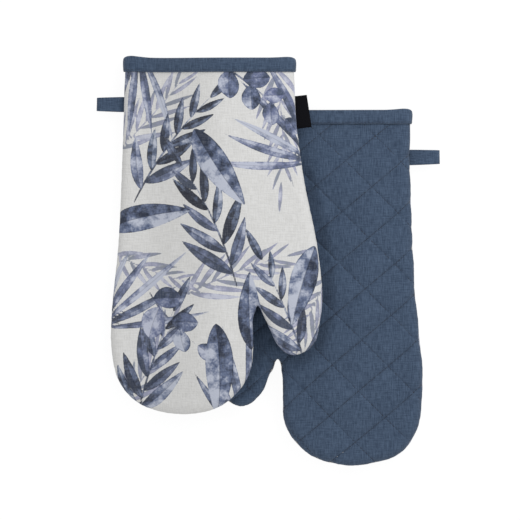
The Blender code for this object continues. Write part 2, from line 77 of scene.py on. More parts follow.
# A side is the sign of its height: the printed side is the upper one as a glove is sewn.
PRINTED, QUILTED = 1.0, -1.0
SIDES = ((PRINTED, "printed"), (QUILTED, "quilted"))
MILLIMETRES = 1000.0
print(f"one glove is {2 * HALF_HEIGHT * MILLIMETRES:.1f} mm thick")

# %% [markdown]
# The sewn edge
#
# The outline of a mitten is a few soft bends, so it is drawn with a handful of points and a
# spline that passes through them. A centripetal spline is used, because it never loops or
# overshoots where the points are unevenly spaced, as they are round the thumb.

# %% Outline of the glove
EDGE_SHARES = (
    (-0.4060, 0.1100), (-0.4145, 0.2720), (-0.4340, 0.5250), (-0.4649, 0.7127),
    (-0.4659, 0.8190), (-0.4298, 0.9088), (-0.3298, 0.9719), (-0.1400, 1.0000),
    (0.0460, 0.9792), (0.1600, 0.9188), (0.1995, 0.8670), (0.2085, 0.8106),
    (0.2094, 0.7262), (0.2284, 0.6964), (0.2579, 0.7276), (0.3204, 0.8053),
    (0.3583, 0.8277), (0.4010, 0.8343), (0.4505, 0.8235), (0.4960, 0.7911),
    (0.5339, 0.6930), (0.5130, 0.5333), (0.4508, 0.3478), (0.4130, 0.1830),
    (0.4060, 0.1100),
)
CUFF_STEPS = 80
SPAN_STEPS = 50


def spline_point(before, start, end, after, share):
    """A point on the centripetal spline between start and end."""
    times = [0.0]
    for one, two in ((before, start), (start, end), (end, after)):
        times.append(times[-1] + math.sqrt((two - one).length))
    time = times[1] + (times[2] - times[1]) * share

    def between(one, two, low, high):
        return one.lerp(two, (time - times[low]) / (times[high] - times[low]))

    first, second, third = (between(before, start, 0, 1), between(start, end, 1, 2),
                            between(end, after, 2, 3))
    return between(between(first, second, 0, 2), between(second, third, 1, 3), 1, 2)


def fine_outline():
    """The edge from the cuff's left end, round fingers and thumb, as a dense row of points."""
    knots = [Vector((across * GLOVE_WIDTH, -along * GLOVE_LENGTH))
             for across, along in EDGE_SHARES]
    drop = (knots[0].y - PANEL_TOP) / CUFF_STEPS
    left = [Vector((knots[0].x, PANEL_TOP + drop * step)) for step in range(CUFF_STEPS)]
    right = [Vector((knots[-1].x, point.y)) for point in reversed(left)]
    padded = [left[-1]] + knots + [right[0]]
    points = list(left)
    for start in range(1, len(padded) - 2):
        points += [spline_point(*padded[start - 1:start + 3], step / SPAN_STEPS)
                   for step in range(SPAN_STEPS)]
    return points + [knots[-1]] + right


# %% Stations along the edge
EDGE_STEP = 0.0016


def edge_stations():
    """Places along the edge, each with its way in and its distance along the edge."""
    dense = fine_outline()
    last = len(dense) - 1
    normals = []
    for index in range(len(dense)):
        run = dense[min(index + 2, last)] - dense[max(index - 2, 0)]
        normals.append(Vector((-run.y, run.x)).normalized())
    stations = [(dense[0], normals[0], 0.0)]
    travelled = 0.0
    for index in range(1, last + 1):
        travelled += (dense[index] - dense[index - 1]).length
        place, normal = dense[index], normals[index]
        old_place, old_normal, _ = stations[-1]
        outer = (place - old_place).length
        inner = (place + normal * EDGE_WIDTH - old_place - old_normal * EDGE_WIDTH).length
        if max(outer, inner) >= EDGE_STEP or index == last:
            stations.append((place, normal, travelled))
    return stations


STATIONS = edge_stations()
OUTLINE = np.array([place[:] for place, _, _ in STATIONS])
print(f"sewn edge: {STATIONS[-1][2] * MILLIMETRES:.0f} mm in {len(STATIONS)} stations")

# %% [markdown]
# Cutting a panel
#
# A panel is two regions: a strip that will roll over the edge, and the field inside it. The
# strip is a grid, so its rings can follow the roll exactly. The field starts as one face, and
# bisect_plane cuts it into small cells. On the quilted side the cuts run along the stitching,
# so that each crease falls on a row of edges and stays crisp.

# %% The strip that rolls over the edge
UNIT = 1.0
MERGE_DISTANCE = 1e-6


def add_grid(mesh, columns, rows):
    """A grid of faces, as a list of its vertices, each with its column and row."""
    grid = bmesh.ops.create_grid(mesh, x_segments=columns, y_segments=rows, size=UNIT)
    return [(vertex, round((vertex.co.x + UNIT) / (2 * UNIT) * columns),
             round((vertex.co.y + UNIT) / (2 * UNIT) * rows)) for vertex in grid["verts"]]


def edge_strip(mesh, rings, every):
    """The rolled edge as a flat grid. Returns its inner ring of vertices, in order."""
    stations = STATIONS[::every]
    if stations[-1] is not STATIONS[-1]:
        stations = stations + [STATIONS[-1]]
    columns = len(stations) - 1
    inner = {}
    for vertex, column, ring in add_grid(mesh, columns, rings):
        place, normal, _ = stations[column]
        inset = EDGE_WIDTH * (1.0 - math.cos(math.pi / 2 * ring / rings))
        vertex.co = (*(place + normal * inset), 0.0)
        if column in (0, columns):
            vertex.co.y = PANEL_TOP
        if ring == rings:
            inner[column] = vertex
    return [inner[column] for column in sorted(inner)]


# %% Flat cut of a panel
def slice_faces(mesh, faces, normal, reaches):
    """Cuts flat faces into strips along parallel lines, and returns all the strips."""
    direction = Vector((*normal, 0.0))
    spread = [vertex.co.dot(direction) for face in faces for vertex in face.verts]
    done = []
    for reach in reaches:
        if reach <= min(spread) or not faces:
            continue
        if reach >= max(spread):
            break
        parts = set(faces)
        for face in faces:
            parts.update(face.edges)
            parts.update(face.verts)
        cut = bmesh.ops.bisect_plane(mesh, geom=list(parts), dist=MERGE_DISTANCE,
                                     plane_co=direction * reach, plane_no=direction)
        after = {item for item in cut["geom"] if isinstance(item, bmesh.types.BMFace)}
        faces = [face for face in after if face.calc_center_median().dot(direction) > reach]
        done += list(after.difference(faces))
    return done + faces


def flat_cut(rings, every, cuts, strip_cuts=()):
    """One flat panel: the strip, and the field cut along two sets of lines."""
    mesh = bmesh.new()
    ring = edge_strip(mesh, rings, every)
    strip = mesh.faces[:]
    edges = [mesh.edges.get(pair) for pair in zip(ring, ring[1:])]
    edges.append(mesh.edges.new((ring[-1], ring[0])))
    field = bmesh.ops.contextual_create(mesh, geom=edges)["faces"]
    for normal, reaches in cuts:
        field = slice_faces(mesh, field, normal, reaches)
    for normal, reaches in strip_cuts:
        strip = slice_faces(mesh, strip, normal, reaches)
    crowded = [face for face in mesh.faces if len(face.verts) > 4]
    bmesh.ops.triangulate(mesh, faces=crowded)
    return mesh


# %% [markdown]
# Quilting lines
#
# Two sets of parallel lines cross to make the diamonds. The rising lines are pulled tight, the
# falling ones less, so they show less. The pillow between them is a formula: a sharp valley
# that dies away from the thread, and a low crown in the middle of each diamond.

# %% Quilting lines
RISING_ANGLE, RISING_PITCH, RISING_SHIFT, RISING_PULL = 40.0, 0.0343, -0.0148, 1.0
FALLING_ANGLE, FALLING_PITCH, FALLING_SHIFT, FALLING_PULL = -45.0, 0.0357, 0.0162, 0.5
CREASE_DEPTH, CREASE_FADE = 0.0012, 0.0009
VALLEY_DEPTH, VALLEY_FADE = 0.0007, 0.0045
DEEPEST = 0.0021
PILLOW_RISE = 0.0009


def line_set(degrees, pitch, shift, pull):
    """Parallel stitching lines: the way across them, their spacing, shift and pull."""
    angle = math.radians(degrees)
    return np.array((math.sin(angle), math.cos(angle))), pitch, shift, pull


LINE_SETS = (line_set(RISING_ANGLE, RISING_PITCH, RISING_SHIFT, RISING_PULL),
             line_set(FALLING_ANGLE, FALLING_PITCH, FALLING_SHIFT, FALLING_PULL))


def line_distance(flat, normal, pitch, shift):
    """How far flat places are from the nearest line of a set."""
    turn = (flat @ normal - shift) / pitch
    return np.abs(turn - np.round(turn)) * pitch


def quilt_relief(flat, pillow_rise):
    """Height of the quilted face over each flat place: valleys at the lines, pillows between."""
    relief = np.zeros(len(flat))
    crown = np.ones(len(flat))
    for normal, pitch, shift, pull in LINE_SETS:
        away = line_distance(flat, normal, pitch, shift)
        relief -= pull * CREASE_DEPTH * np.exp(-away / CREASE_FADE)
        relief -= pull * VALLEY_DEPTH * np.exp(-away / VALLEY_FADE)
        crown *= np.sin(np.pi * away / pitch)
    return np.maximum(relief, -DEEPEST) + pillow_rise * crown


# %% Lines to cut the field along
LINE_NUMBERS = range(-20, 21)
CELL_CROWDING = 1.6


def diamond_cuts(cells):
    """Cuts along the stitching for half a diamond's cells, crowded towards the lines."""
    cuts = []
    for normal, pitch, shift, _ in LINE_SETS:
        away = [pitch / 2 * (cell / cells) ** CELL_CROWDING for cell in range(cells + 1)]
        offsets = sorted(away[:-1] + [-reach for reach in away[1:]])
        cuts.append((normal, [shift + pitch * line + offset
                              for line in LINE_NUMBERS for offset in offsets]))
    return cuts


def crease_cuts():
    """Just the cuts that a crease needs: its line, and one on either side of it."""
    return [(normal, [shift + pitch * line + offset for line in LINE_NUMBERS
                      for offset in (-CREASE_FADE, 0.0, CREASE_FADE)])
            for normal, pitch, shift, _ in LINE_SETS]


def square_cuts(step):
    """Cuts across and along the glove at an even step."""
    count = math.ceil(GLOVE_LENGTH / step)
    reaches = [step * index for index in range(-count, count + 1)]
    return [((0.0, 1.0), reaches), ((1.0, 0.0), reaches)]


# %% [markdown]
# Rolling the cloth over the padding
#
# Each layer follows the same rule: flat over the hand, then a full, rounded roll down to the
# seam. The layers differ only in how far they sit inside that shape. NumPy moves all the
# vertices of a layer at once, which is far quicker than a loop over them. The same few curves
# serve every layer and the binding, so nothing pokes through where they meet.

# %% Curves of the edge and the cuff
ROLL_POWER = 3.0
CORNER_ROUND = 0.0020


def smooth_step(value):
    """An even ramp from 0 to 1 with soft ends."""
    share = np.clip(value, 0.0, 1.0)
    return share * share * (3.0 - 2.0 * share)


def cuff_nip(along):
    """How far the binding's stitching pulls the side edges in."""
    return CUFF_NIP * np.exp(-((along + BINDING_DEPTH) / CUFF_NIP_REACH) ** 2)


def corner_dip(turn, along):
    """How far the cuff's corner is rounded down, at a turn round the edge."""
    share = np.clip(1.0 + along / BINDING_DEPTH, 0.0, 1.0)
    return CORNER_ROUND * (1.0 - np.sin(turn)) ** 2 * share


def roll_rise(turn):
    """Height of the rolled edge, from 0 at the seam to 1 where the face is flat."""
    return (1.0 - np.clip(np.cos(turn), 0.0, 1.0) ** ROLL_POWER) ** (1.0 / ROLL_POWER)


# %% Where a place lies from the edge
ON_EDGE_SHARE = 0.02
EVERY_STATION = 2


def is_inside(points):
    """Which flat places lie inside the glove's outline."""
    crossings = np.zeros(len(points), dtype=int)
    loop = np.vstack((OUTLINE, OUTLINE[:1]))
    for start, end in zip(loop[:-1], loop[1:]):
        spans = (start[1] > points[:, 1]) != (end[1] > points[:, 1])
        rise = end[1] - start[1] if end[1] != start[1] else MERGE_DISTANCE
        cross = start[0] + (points[:, 1] - start[1]) * (end[0] - start[0]) / rise
        crossings += spans & (points[:, 0] < cross)
    return crossings % 2 == 1


def edge_facts(flat):
    """For flat places: the distance to the sewn edge, the way in from it, and how far along."""
    travel_to = np.array([travelled for _, _, travelled in STATIONS])
    nearest = np.full(len(flat), GLOVE_LENGTH)
    foot = np.zeros((len(flat), 2))
    travel = np.zeros(len(flat))
    for index in range(0, len(OUTLINE) - 1, EVERY_STATION):
        last = min(index + EVERY_STATION, len(OUTLINE) - 1)
        run = OUTLINE[last] - OUTLINE[index]
        share = np.clip((flat - OUTLINE[index]) @ run / (run @ run), 0.0, 1.0)
        point = OUTLINE[index] + share[:, None] * run
        away = np.linalg.norm(flat - point, axis=1)
        closer = away < nearest
        nearest[closer] = away[closer]
        foot[closer] = point[closer]
        travel[closer] = travel_to[index] + share[closer] * (travel_to[last] - travel_to[index])
    inward = (flat - foot) / np.maximum(nearest, MERGE_DISTANCE)[:, None]
    station = np.clip(np.searchsorted(travel_to, travel), 0, len(STATIONS) - 1)
    normals = np.array([normal[:] for _, normal, _ in STATIONS])[station]
    on_edge = nearest < EDGE_WIDTH * ON_EDGE_SHARE
    inward[on_edge] = normals[on_edge]
    return nearest, inward, travel


# %% [markdown]
# How the pair lies
#
# The rear glove lies flat, quilted side up, and the front one lies half over it and drapes
# down to the table. Soft cloth never lies quite as it was cut, so each glove also has a few
# nudges: how the cloth gives round one place. Everything rides on these rules, stitches too.

# %% One glove of the pair
PAIR_STEP_ACROSS = 0.1060
PAIR_STEP_ALONG = 0.0472
DRAPE_RUN = 0.0800
DRAPE_START = PAIR_STEP_ACROSS - OUTLINE[:, 0].max() + EDGE_WIDTH - DRAPE_RUN
PRESS_REACH = 0.0150


class Glove:
    """One glove of the pair: its name, which side is up, and where and how it lies.

    A nudge is a place across and along, how far round it reaches, and the push it gives.
    """

    def __init__(self, name, up_side, across, along, drape_height, nudges):
        self.name = name
        self.body = f"{name}_glove"
        self.up_side = up_side
        self.across = across
        self.along = along
        self.drape_height = drape_height
        self.nudges = nudges

    def lift(self, across):
        """How far the drape over the other glove lifts the seam."""
        return self.drape_height * smooth_step((across - DRAPE_START) / DRAPE_RUN)

    def pressed(self, flat):
        """How much the glove on top presses the padding down, from 0 to 1."""
        if self.up_side == PRINTED:
            return np.zeros(len(flat))
        over = np.stack((PAIR_STEP_ACROSS - flat[:, 0], flat[:, 1] - PAIR_STEP_ALONG), 1)
        away = np.where(is_inside(over), 0.0, edge_facts(over)[0])
        return 1.0 - smooth_step(away / PRESS_REACH)

    def to_world(self, local, flat_across):
        """Places points of the glove, printed side at +Z, where the glove lies."""
        laid = local.copy()
        for across, along, reach, push_across, push_along in self.nudges:
            away = np.hypot(local[:, 0] - across, local[:, 1] - along)
            share = np.exp(-(away / reach) ** 2)
            laid[:, 0] += push_across * share
            laid[:, 1] += push_along * share
        world = laid.copy()
        if self.up_side == PRINTED:
            world[:, 0] += self.across
            world[:, 2] += HALF_HEIGHT + self.lift(flat_across)
        else:
            world[:, 0] = self.across - laid[:, 0]
            world[:, 2] = HALF_HEIGHT - local[:, 2]
        world[:, 1] += self.along
        return world


# %% Where the two gloves lie
CUFF_MIDDLE = (GLOVE_LENGTH - PAIR_STEP_ALONG) / 2
FRONT_DRAPE = 2 * HALF_HEIGHT + LOFT + PILLOW_RISE + CLEARANCE
FRONT_NUDGES = (
    (0.0965, -0.2650, 0.0140, 0.0020, 0.0),
    (-0.0750, 0.0, 0.0200, 0.0, 0.0010),
    (0.0419, -0.2342, 0.0040, 0.0006, 0.0),
    (0.0477, -0.2342, 0.0040, -0.0005, 0.0),
)
REAR_NUDGES = (
    (0.0222, -0.2694, 0.0300, -0.0016, 0.0),
    (-0.0704, -0.3176, 0.0240, -0.0021, -0.0014),
    (0.0574, -0.2602, 0.0200, -0.0036, 0.0004),
    (0.0435, -0.2305, 0.0130, -0.0015, -0.0024),
    (-0.0800, 0.0, 0.0300, -0.0019, -0.0003),
    (0.0, 0.0, 0.0900, 0.0, -0.0008),
    (0.0481, -0.2407, 0.0068, -0.0019, 0.0),
    (0.0389, -0.2407, 0.0068, 0.0015, 0.0),
)
GLOVES = (
    Glove("front", PRINTED, -PAIR_STEP_ACROSS / 2, CUFF_MIDDLE + PAIR_STEP_ALONG, FRONT_DRAPE,
          FRONT_NUDGES),
    Glove("rear", QUILTED, PAIR_STEP_ACROSS / 2, CUFF_MIDDLE, 0.0, REAR_NUDGES),
)
print(f"the front glove's seam lies up to {FRONT_DRAPE * MILLIMETRES:.1f} mm higher")

# %% [markdown]
# A map of heights over the glove
#
# The cloth simulation below runs on a coarse sheet, and the fine panels need its heights
# between its points. Each height is spread over the cells of a flat map that lie near it, and
# a cell keeps their weighted mean. That also smooths away the coarse sheet's own facets.

# %% Map of heights
MAP_STEP = 0.001
MAP_REACH = 0.006
MAP_MARGIN = 0.010
LAST_CELL = 1.001
MAP_LOW = OUTLINE.min(axis=0) - MAP_MARGIN
MAP_SHAPE = np.ceil((OUTLINE.max(axis=0) + MAP_MARGIN - MAP_LOW) / MAP_STEP).astype(int)


def map_rise(flat, rise):
    """Spreads heights at scattered flat places over the map."""
    total, weight = np.zeros(MAP_SHAPE), np.full(MAP_SHAPE, MERGE_DISTANCE)
    spot = (flat - MAP_LOW) / MAP_STEP
    near = np.round(spot).astype(int)
    cells = round(MAP_REACH / MAP_STEP)
    for across in range(-cells, cells + 1):
        for along in range(-cells, cells + 1):
            cell = near + (across, along)
            kept = ((cell >= 0) & (cell < MAP_SHAPE)).all(axis=1)
            away = np.linalg.norm(cell - spot, axis=1) / cells
            share = (np.clip(1.0 - away ** 2, 0.0, 1.0) ** 2)[kept]
            index = (cell[kept, 0], cell[kept, 1])
            np.add.at(total, index, share * rise[kept])
            np.add.at(weight, index, share)
    return total / weight


def read_rise(rise_map, flat):
    """The map's height at flat places, blended between its cells."""
    spot = np.clip((flat - MAP_LOW) / MAP_STEP, 0.0, MAP_SHAPE - LAST_CELL)
    low = spot.astype(int)
    share = spot - low
    height = np.zeros(len(flat))
    for across in (0, 1):
        for along in (0, 1):
            weight = (np.abs(1 - across - share[:, 0])) * (np.abs(1 - along - share[:, 1]))
            height += weight * rise_map[low[:, 0] + across, low[:, 1] + along]
    return height


# %% [markdown]
# Creases
#
# Sewn cloth is never quite smooth. The seam gathers it into small puckers near the edge, and
# the padding swells unevenly. Two sums of sine waves, each with its own wavelengths, are
# enough for that. A nip pulls the cloth in right at the stitches, and where the other glove
# presses, the outer cloth gives only so far, so that the layers below it stay covered.

# %% Waves
def waves(flat, lengths, seed):
    """Soft random swells: a sum of plane waves of the given wavelengths, between -1 and 1."""
    random = np.random.default_rng(seed)
    total = np.zeros(len(flat))
    for length in lengths:
        heading, phase = random.uniform(0, 2 * np.pi, 2)
        along = flat @ np.array((math.cos(heading), math.sin(heading)))
        total += np.sin(2 * np.pi * along / length + phase)
    return total / len(lengths)


# %% Laying one surface
OUTER_FACE = (0.0, 0.0)
PUCKER, PUCKER_REACH = 0.00020, 0.0060
PUCKER_LENGTHS, PUCKER_SEED = (0.0092, 0.0125, 0.0177, 0.026), 11
SWELL = 0.00045
SWELL_LENGTHS, SWELL_SEED = (0.045, 0.062, 0.083), 5
SEAM_NIP, SEAM_NIP_TURN = 0.0007, 0.14
PRESS_DEPTH = 0.0034
MOST_GIVE = 0.0036
SQUEEZE_END = -BINDING_DEPTH - SQUEEZE_RUN
QUILT_AT_SEAM, QUILT_AT_CUFF = 0.7, 0.5
PADDING_RISE = {}
RISE_SHARE = {PRINTED: 0.25, QUILTED: 0.5}


def lay_cloth(glove, side, flat, surface, quilted=False, follows=1.0, lift_off=0.0):
    """World places of one cloth surface: its inset at the seam and its drop are its surface.

    follows is how much of the outer face's loft and relief this surface takes up, and
    lift_off raises points above it, for threads.
    """
    seam_inset, drop = surface
    within, inward, travel = edge_facts(flat)
    turn = np.arccos(np.clip(1.0 - within / EDGE_WIDTH, 0.0, 1.0))
    rise, run = roll_rise(turn), np.cos(turn)
    squeeze = CUFF_SQUEEZE * np.clip((flat[:, 1] - SQUEEZE_END) / SQUEEZE_RUN, 0.0, 1.0)
    loose = smooth_step((SQUEEZE_END - flat[:, 1]) / LOFT_REACH)
    height = (HALF_HEIGHT - HALF_SEAM - drop - squeeze * follows) * rise
    is_up = glove.up_side == side
    give = np.zeros(len(flat))
    if is_up:
        give += LOFT * smooth_step((within - EDGE_WIDTH) / LOFT_REACH) * loose
        give += SWELL * (waves(flat, SWELL_LENGTHS, SWELL_SEED) - 1.0) * loose * rise
        flattened = smooth_step((within - EDGE_WIDTH / 2) / EDGE_WIDTH)
        give -= PRESS_DEPTH * glove.pressed(flat) * loose * flattened
    out_push = -(seam_inset + cuff_nip(flat[:, 1])) * run
    out_push -= follows * SEAM_NIP * np.exp(-(turn / SEAM_NIP_TURN) ** 2)
    puckers = waves(np.stack((travel, travel), 1), PUCKER_LENGTHS, PUCKER_SEED)
    ripple = PUCKER * puckers * np.exp(-within / PUCKER_REACH) * loose
    if quilted:
        fading = QUILT_AT_SEAM + (1.0 - QUILT_AT_SEAM) * rise
        fading *= QUILT_AT_CUFF + (1.0 - QUILT_AT_CUFF) * loose
        ripple += quilt_relief(flat, PILLOW_RISE if is_up else 0.0) * fading
    if is_up and side in PADDING_RISE:
        ripple += RISE_SHARE[side] * read_rise(PADDING_RISE[side], flat) * loose
    give = np.maximum(give, -MOST_GIVE * rise - ripple * rise)
    ripple = ripple * follows + lift_off
    out_push += ripple * run
    height += follows * give + ripple * rise
    local = np.zeros((len(flat), 3))
    local[:, :2] = flat - inward * out_push[:, None]
    top = np.abs(flat[:, 1] - PANEL_TOP) < MERGE_DISTANCE
    local[top, 1] = flat[top, 1]
    local[:, 1] -= corner_dip(turn, flat[:, 1])
    local[:, 2] = side * (HALF_SEAM + height)
    return glove.to_world(local, flat[:, 0])


# %% [markdown]
# Padding, blown up
#
# Padding pushes its cloth out wherever no stitch holds it. Blender's Cloth does that best: one
# coarse sheet a side is cut a little slack, pinned at the seam, the cuff and the quilting, and
# blown up for twenty frames without gravity. Its rise is capped, kept in a map, and then the
# sheet is thrown away. Two helpers come first: one puts an object in the scene, and one turns
# a bmesh into a mesh object.

# %% Objects in the scene
def add_object(name, data):
    """Puts a new object with this data in the scene."""
    added = bpy.data.objects.new(name, data)
    bpy.context.scene.collection.objects.link(added)
    return added


def add_mesh_object(name, mesh):
    """Turns a bmesh into an object in the scene."""
    data = bpy.data.meshes.new(name)
    mesh.to_mesh(data)
    mesh.free()
    return add_object(name, data)


def vertex_places(mesh_data):
    """The places of a mesh's vertices, as an array."""
    places = np.zeros(len(mesh_data.vertices) * 3)
    mesh_data.vertices.foreach_get("co", places)
    return places.reshape(-1, 3)


# %% Cloth simulation
TRIAL_RINGS, TRIAL_EVERY, TRIAL_STEP, TRIAL_CELLS = 4, 2, 0.003, 6
TRIAL_FRAMES = 20
TRIAL_PRESSURE = {PRINTED: 0.3, QUILTED: 10.0}
TRIAL_SLACK = {PRINTED: 0.004, QUILTED: 0.010}
RISE_CAP = {PRINTED: 0.0024, QUILTED: 0.0016}
SEAM_HOLD, LINE_HOLD, CUFF_HOLD = 0.006, 0.0003, 0.002


def held_places(side, flat):
    """The places that the seam, the cuff and the quilting hold down."""
    held = edge_facts(flat)[0] < SEAM_HOLD
    held |= flat[:, 1] > -BINDING_DEPTH - CUFF_HOLD
    if side == QUILTED:
        for normal, pitch, shift, _ in LINE_SETS:
            held |= line_distance(flat, normal, pitch, shift) < LINE_HOLD
    return held


def blow_up(side):
    """Runs the cloth simulation for one side, and returns its map of heights."""
    cuts = diamond_cuts(TRIAL_CELLS) if side == QUILTED else square_cuts(TRIAL_STEP)
    mesh = flat_cut(TRIAL_RINGS, TRIAL_EVERY, cuts)
    flat = np.array([vertex.co[:2] for vertex in mesh.verts])
    trial = Glove("trial", PRINTED, 0.0, 0.0, 0.0, ())
    start = lay_cloth(trial, PRINTED, flat, OUTER_FACE, follows=0.0)
    for vertex, place in zip(mesh.verts, start):
        vertex.co = place
    sheet = add_mesh_object("trial_sheet", mesh)
    pins = sheet.vertex_groups.new(name="pins")
    pins.add([int(index) for index in np.flatnonzero(held_places(side, flat))], 1.0, "REPLACE")
    cloth = sheet.modifiers.new("cloth", "CLOTH")
    cloth.settings.vertex_group_mass = pins.name
    cloth.settings.use_pressure = True
    cloth.settings.uniform_pressure_force = TRIAL_PRESSURE[side]
    cloth.settings.shrink_min = -TRIAL_SLACK[side]
    cloth.settings.effector_weights.gravity = 0.0
    for frame_number in range(1, TRIAL_FRAMES + 1):
        bpy.context.scene.frame_set(frame_number)
    blown = sheet.evaluated_get(bpy.context.evaluated_depsgraph_get())
    rise = vertex_places(blown.data)[:, 2] - start[:, 2]
    bpy.data.objects.remove(sheet)
    bpy.context.scene.frame_set(1)
    rise = np.clip(rise, -RISE_CAP[side], RISE_CAP[side])
    return map_rise(flat, rise)


for side, side_name in SIDES:
    rise_map = blow_up(side)
    PADDING_RISE[side] = rise_map
    print(f"{side_name} side blown up by at most {rise_map.max() * MILLIMETRES:.1f} mm")

# %% [markdown]
# Small helpers for pieces and materials
#
# One function turns a bmesh into a finished piece, with its material, on its body. Another adds a
# shader node with its settings and links, so that a material reads as a list of nodes. The
# last two give a cloth its two tones and its relief.

# %% Helpers for pieces
def set_places(mesh_data, places):
    """Moves a mesh's vertices."""
    mesh_data.vertices.foreach_set("co", places.astype(np.float32).ravel())
    mesh_data.update()


def new_piece(name, mesh, material, body, slot, *nodes):
    """Links a bmesh as a finished piece that stands for some CAD nodes."""
    piece = add_mesh_object(name, mesh)
    piece.data.shade_smooth()
    piece.data.materials.append(material)
    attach(piece, body)
    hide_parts(*nodes)
    return piece


# %% Helpers for materials
SHEEN_ROUGHNESS = 0.6


def linear(hex_colour):
    """An sRGB hex colour as the linear RGBA that shaders take."""
    channels = [int(hex_colour[place:place + 2], 16) / 255 for place in (1, 3, 5)]
    return [value / 12.92 if value <= 0.04045 else ((value + 0.055) / 1.055) ** 2.4
            for value in channels] + [1.0]


def add_node(tree, kind, inputs=None, **settings):
    """Adds a shader node. Its inputs are values, sockets, or nodes that give their first output."""
    node = tree.nodes.new(f"ShaderNode{kind}")
    for name, value in settings.items():
        setattr(node, name, value)
    for name, value in (inputs or {}).items():
        if isinstance(value, bpy.types.Node):
            value = value.outputs[0]
        if isinstance(value, bpy.types.NodeSocket):
            tree.links.new(value, node.inputs[name])
        else:
            node.inputs[name].default_value = value
    return node


def new_material(name, roughness, sheen, specular):
    """A cloth material with its Principled shader. Returns it with its tree and shader."""
    material = bpy.data.materials.new(name)
    material.use_nodes = True
    tree = material.node_tree
    shader = tree.nodes["Principled BSDF"]
    settings = {"Roughness": roughness, "Sheen Weight": sheen,
                "Sheen Roughness": SHEEN_ROUGHNESS, "Specular IOR Level": specular}
    for socket, value in settings.items():
        shader.inputs[socket].default_value = value
    return material, tree, shader


def colour_cloth(tree, shader, share, dark, light):
    """Colours a cloth between two tones, by a share from 0 to 1."""
    tone = add_node(tree, "Mix", data_type="RGBA",
                    inputs={"Factor": share, "A": linear(dark), "B": linear(light)})
    tree.links.new(tone.outputs["Result"], shader.inputs["Base Color"])


def add_relief(tree, shader, height, depth):
    """Gives a cloth relief: a height of 1 stands this many metres proud."""
    bump = add_node(tree, "Bump", {"Height": height, "Strength": 1.0, "Distance": depth})
    tree.links.new(bump.outputs[0], shader.inputs["Normal"])


# %% [markdown]
# Woven cloth
#
# The cloths are plain weaves, so they share one way to draw yarns. The pattern reads a map of
# the flat cut in millimetres, which keeps the yarns on the cloth as it bends. Real yarns here
# are 0.5 mm apart. The render has one pixel for each 0.9 mm, so the yarns are drawn 1.5 mm
# apart, with long slubs over them, which is what the photo's cloth shows.

# %% Weave
YARN_PITCH = 1.5
SLUB_WIDTH, SLUB_LENGTH = 0.9, 9.0
YARN_SHARE = 0.35


def flat_map(tree):
    """Coordinates of the flat cut, in millimetres."""
    return add_node(tree, "Attribute", attribute_name="flat_mm").outputs["Vector"]


def streaks(tree, place, across, along):
    """Noise drawn out along one thread direction: sizes in mm across and along."""
    mapping = add_node(tree, "Mapping",
                       {"Vector": place, "Scale": (1.0 / across, 1.0 / along, 1.0)})
    return add_node(tree, "TexNoise",
                    {"Vector": mapping, "Scale": 1.0, "Detail": 2.0, "Roughness": 0.55})


def weave_height(tree, place, pitch):
    """Over and under of a plain weave with this yarn spacing in mm, from 0 to 1."""
    axes = add_node(tree, "SeparateXYZ", {0: place}).outputs
    over = 0.5
    for axis in ("X", "Y"):
        turn = add_node(tree, "Math", {0: axes[axis], 1: math.pi / pitch},
                        operation="MULTIPLY")
        wave = add_node(tree, "Math", {0: turn}, operation="SINE")
        over = add_node(tree, "Math", {0: wave, 1: over}, operation="MULTIPLY")
    return add_node(tree, "Math", {0: over, 1: 0.5}, operation="ADD")


def add_weave(tree, shader, place, pitch, depth, roughen):
    """Gives a cloth yarns and slubs in relief. Returns the slubs of its warp and its weft."""
    woven = weave_height(tree, place, pitch)
    height = add_node(tree, "Math", {0: woven, 1: YARN_SHARE}, operation="MULTIPLY")
    slubs = (streaks(tree, place, SLUB_WIDTH, SLUB_LENGTH),
             streaks(tree, place, SLUB_LENGTH, SLUB_WIDTH))
    for slub in slubs:
        height = add_node(tree, "Math", {0: slub, 1: roughen, 2: height},
                          operation="MULTIPLY_ADD")
    add_relief(tree, shader, height, depth)
    return slubs


# %% [markdown]
# Blue chambray
#
# Chambray is woven from a dyed warp and a white weft, so close up it is a mix of blue and
# pale flecks, and from afar a soft grey-blue. Fine streaks along both thread directions
# carry that, over a slow change of tone from washing.

# %% Chambray
WASH_PATCH = 45.45
WEFT_SHARE, WASH_SHARE, DYE_SHIFT = 0.75, 0.35, -0.17


def chambray():
    """Chambray of a dyed warp and a white weft."""
    material, tree, shader = new_material("blue_chambray_plain_weave", roughness=0.92,
                                          sheen=0.12, specular=0.18)
    place = flat_map(tree)
    warp, weft = add_weave(tree, shader, place, YARN_PITCH, depth=0.00022, roughen=0.9)
    mixed = add_node(tree, "Math", {0: weft, 1: WEFT_SHARE, 2: warp},
                     operation="MULTIPLY_ADD")
    fleck = add_node(tree, "MapRange", interpolation_type="SMOOTHSTEP",
                     inputs={"Value": mixed, "From Min": 0.54, "From Max": 1.22,
                             "To Min": DYE_SHIFT, "To Max": 1.0 + DYE_SHIFT})
    wash = add_node(tree, "TexNoise",
                    {"Vector": place, "Scale": 1.0 / WASH_PATCH, "Detail": 2.0})
    share = add_node(tree, "Math", {0: wash, 1: WASH_SHARE, 2: fleck},
                     operation="MULTIPLY_ADD")
    colour_cloth(tree, shader, share, "#324258", "#51637B")
    return material


CHAMBRAY = chambray()
print("made", CHAMBRAY.name)

# %% [markdown]
# A generic leaf print
#
# The canvas carries a watercolour leaf print. This one is a design made for this script:
# willow sprigs, round-leaved branches, reeds and thin ferns. Each leaf is a formula in the
# cloth's own millimetres. Every vertex keeps three numbers for where it is in the nearest leaf,
# and three for how that leaf is painted. The shader then draws the outline, the midrib and the
# wash from them, so an edge stays sharp though the mesh is only about as fine as a pixel.

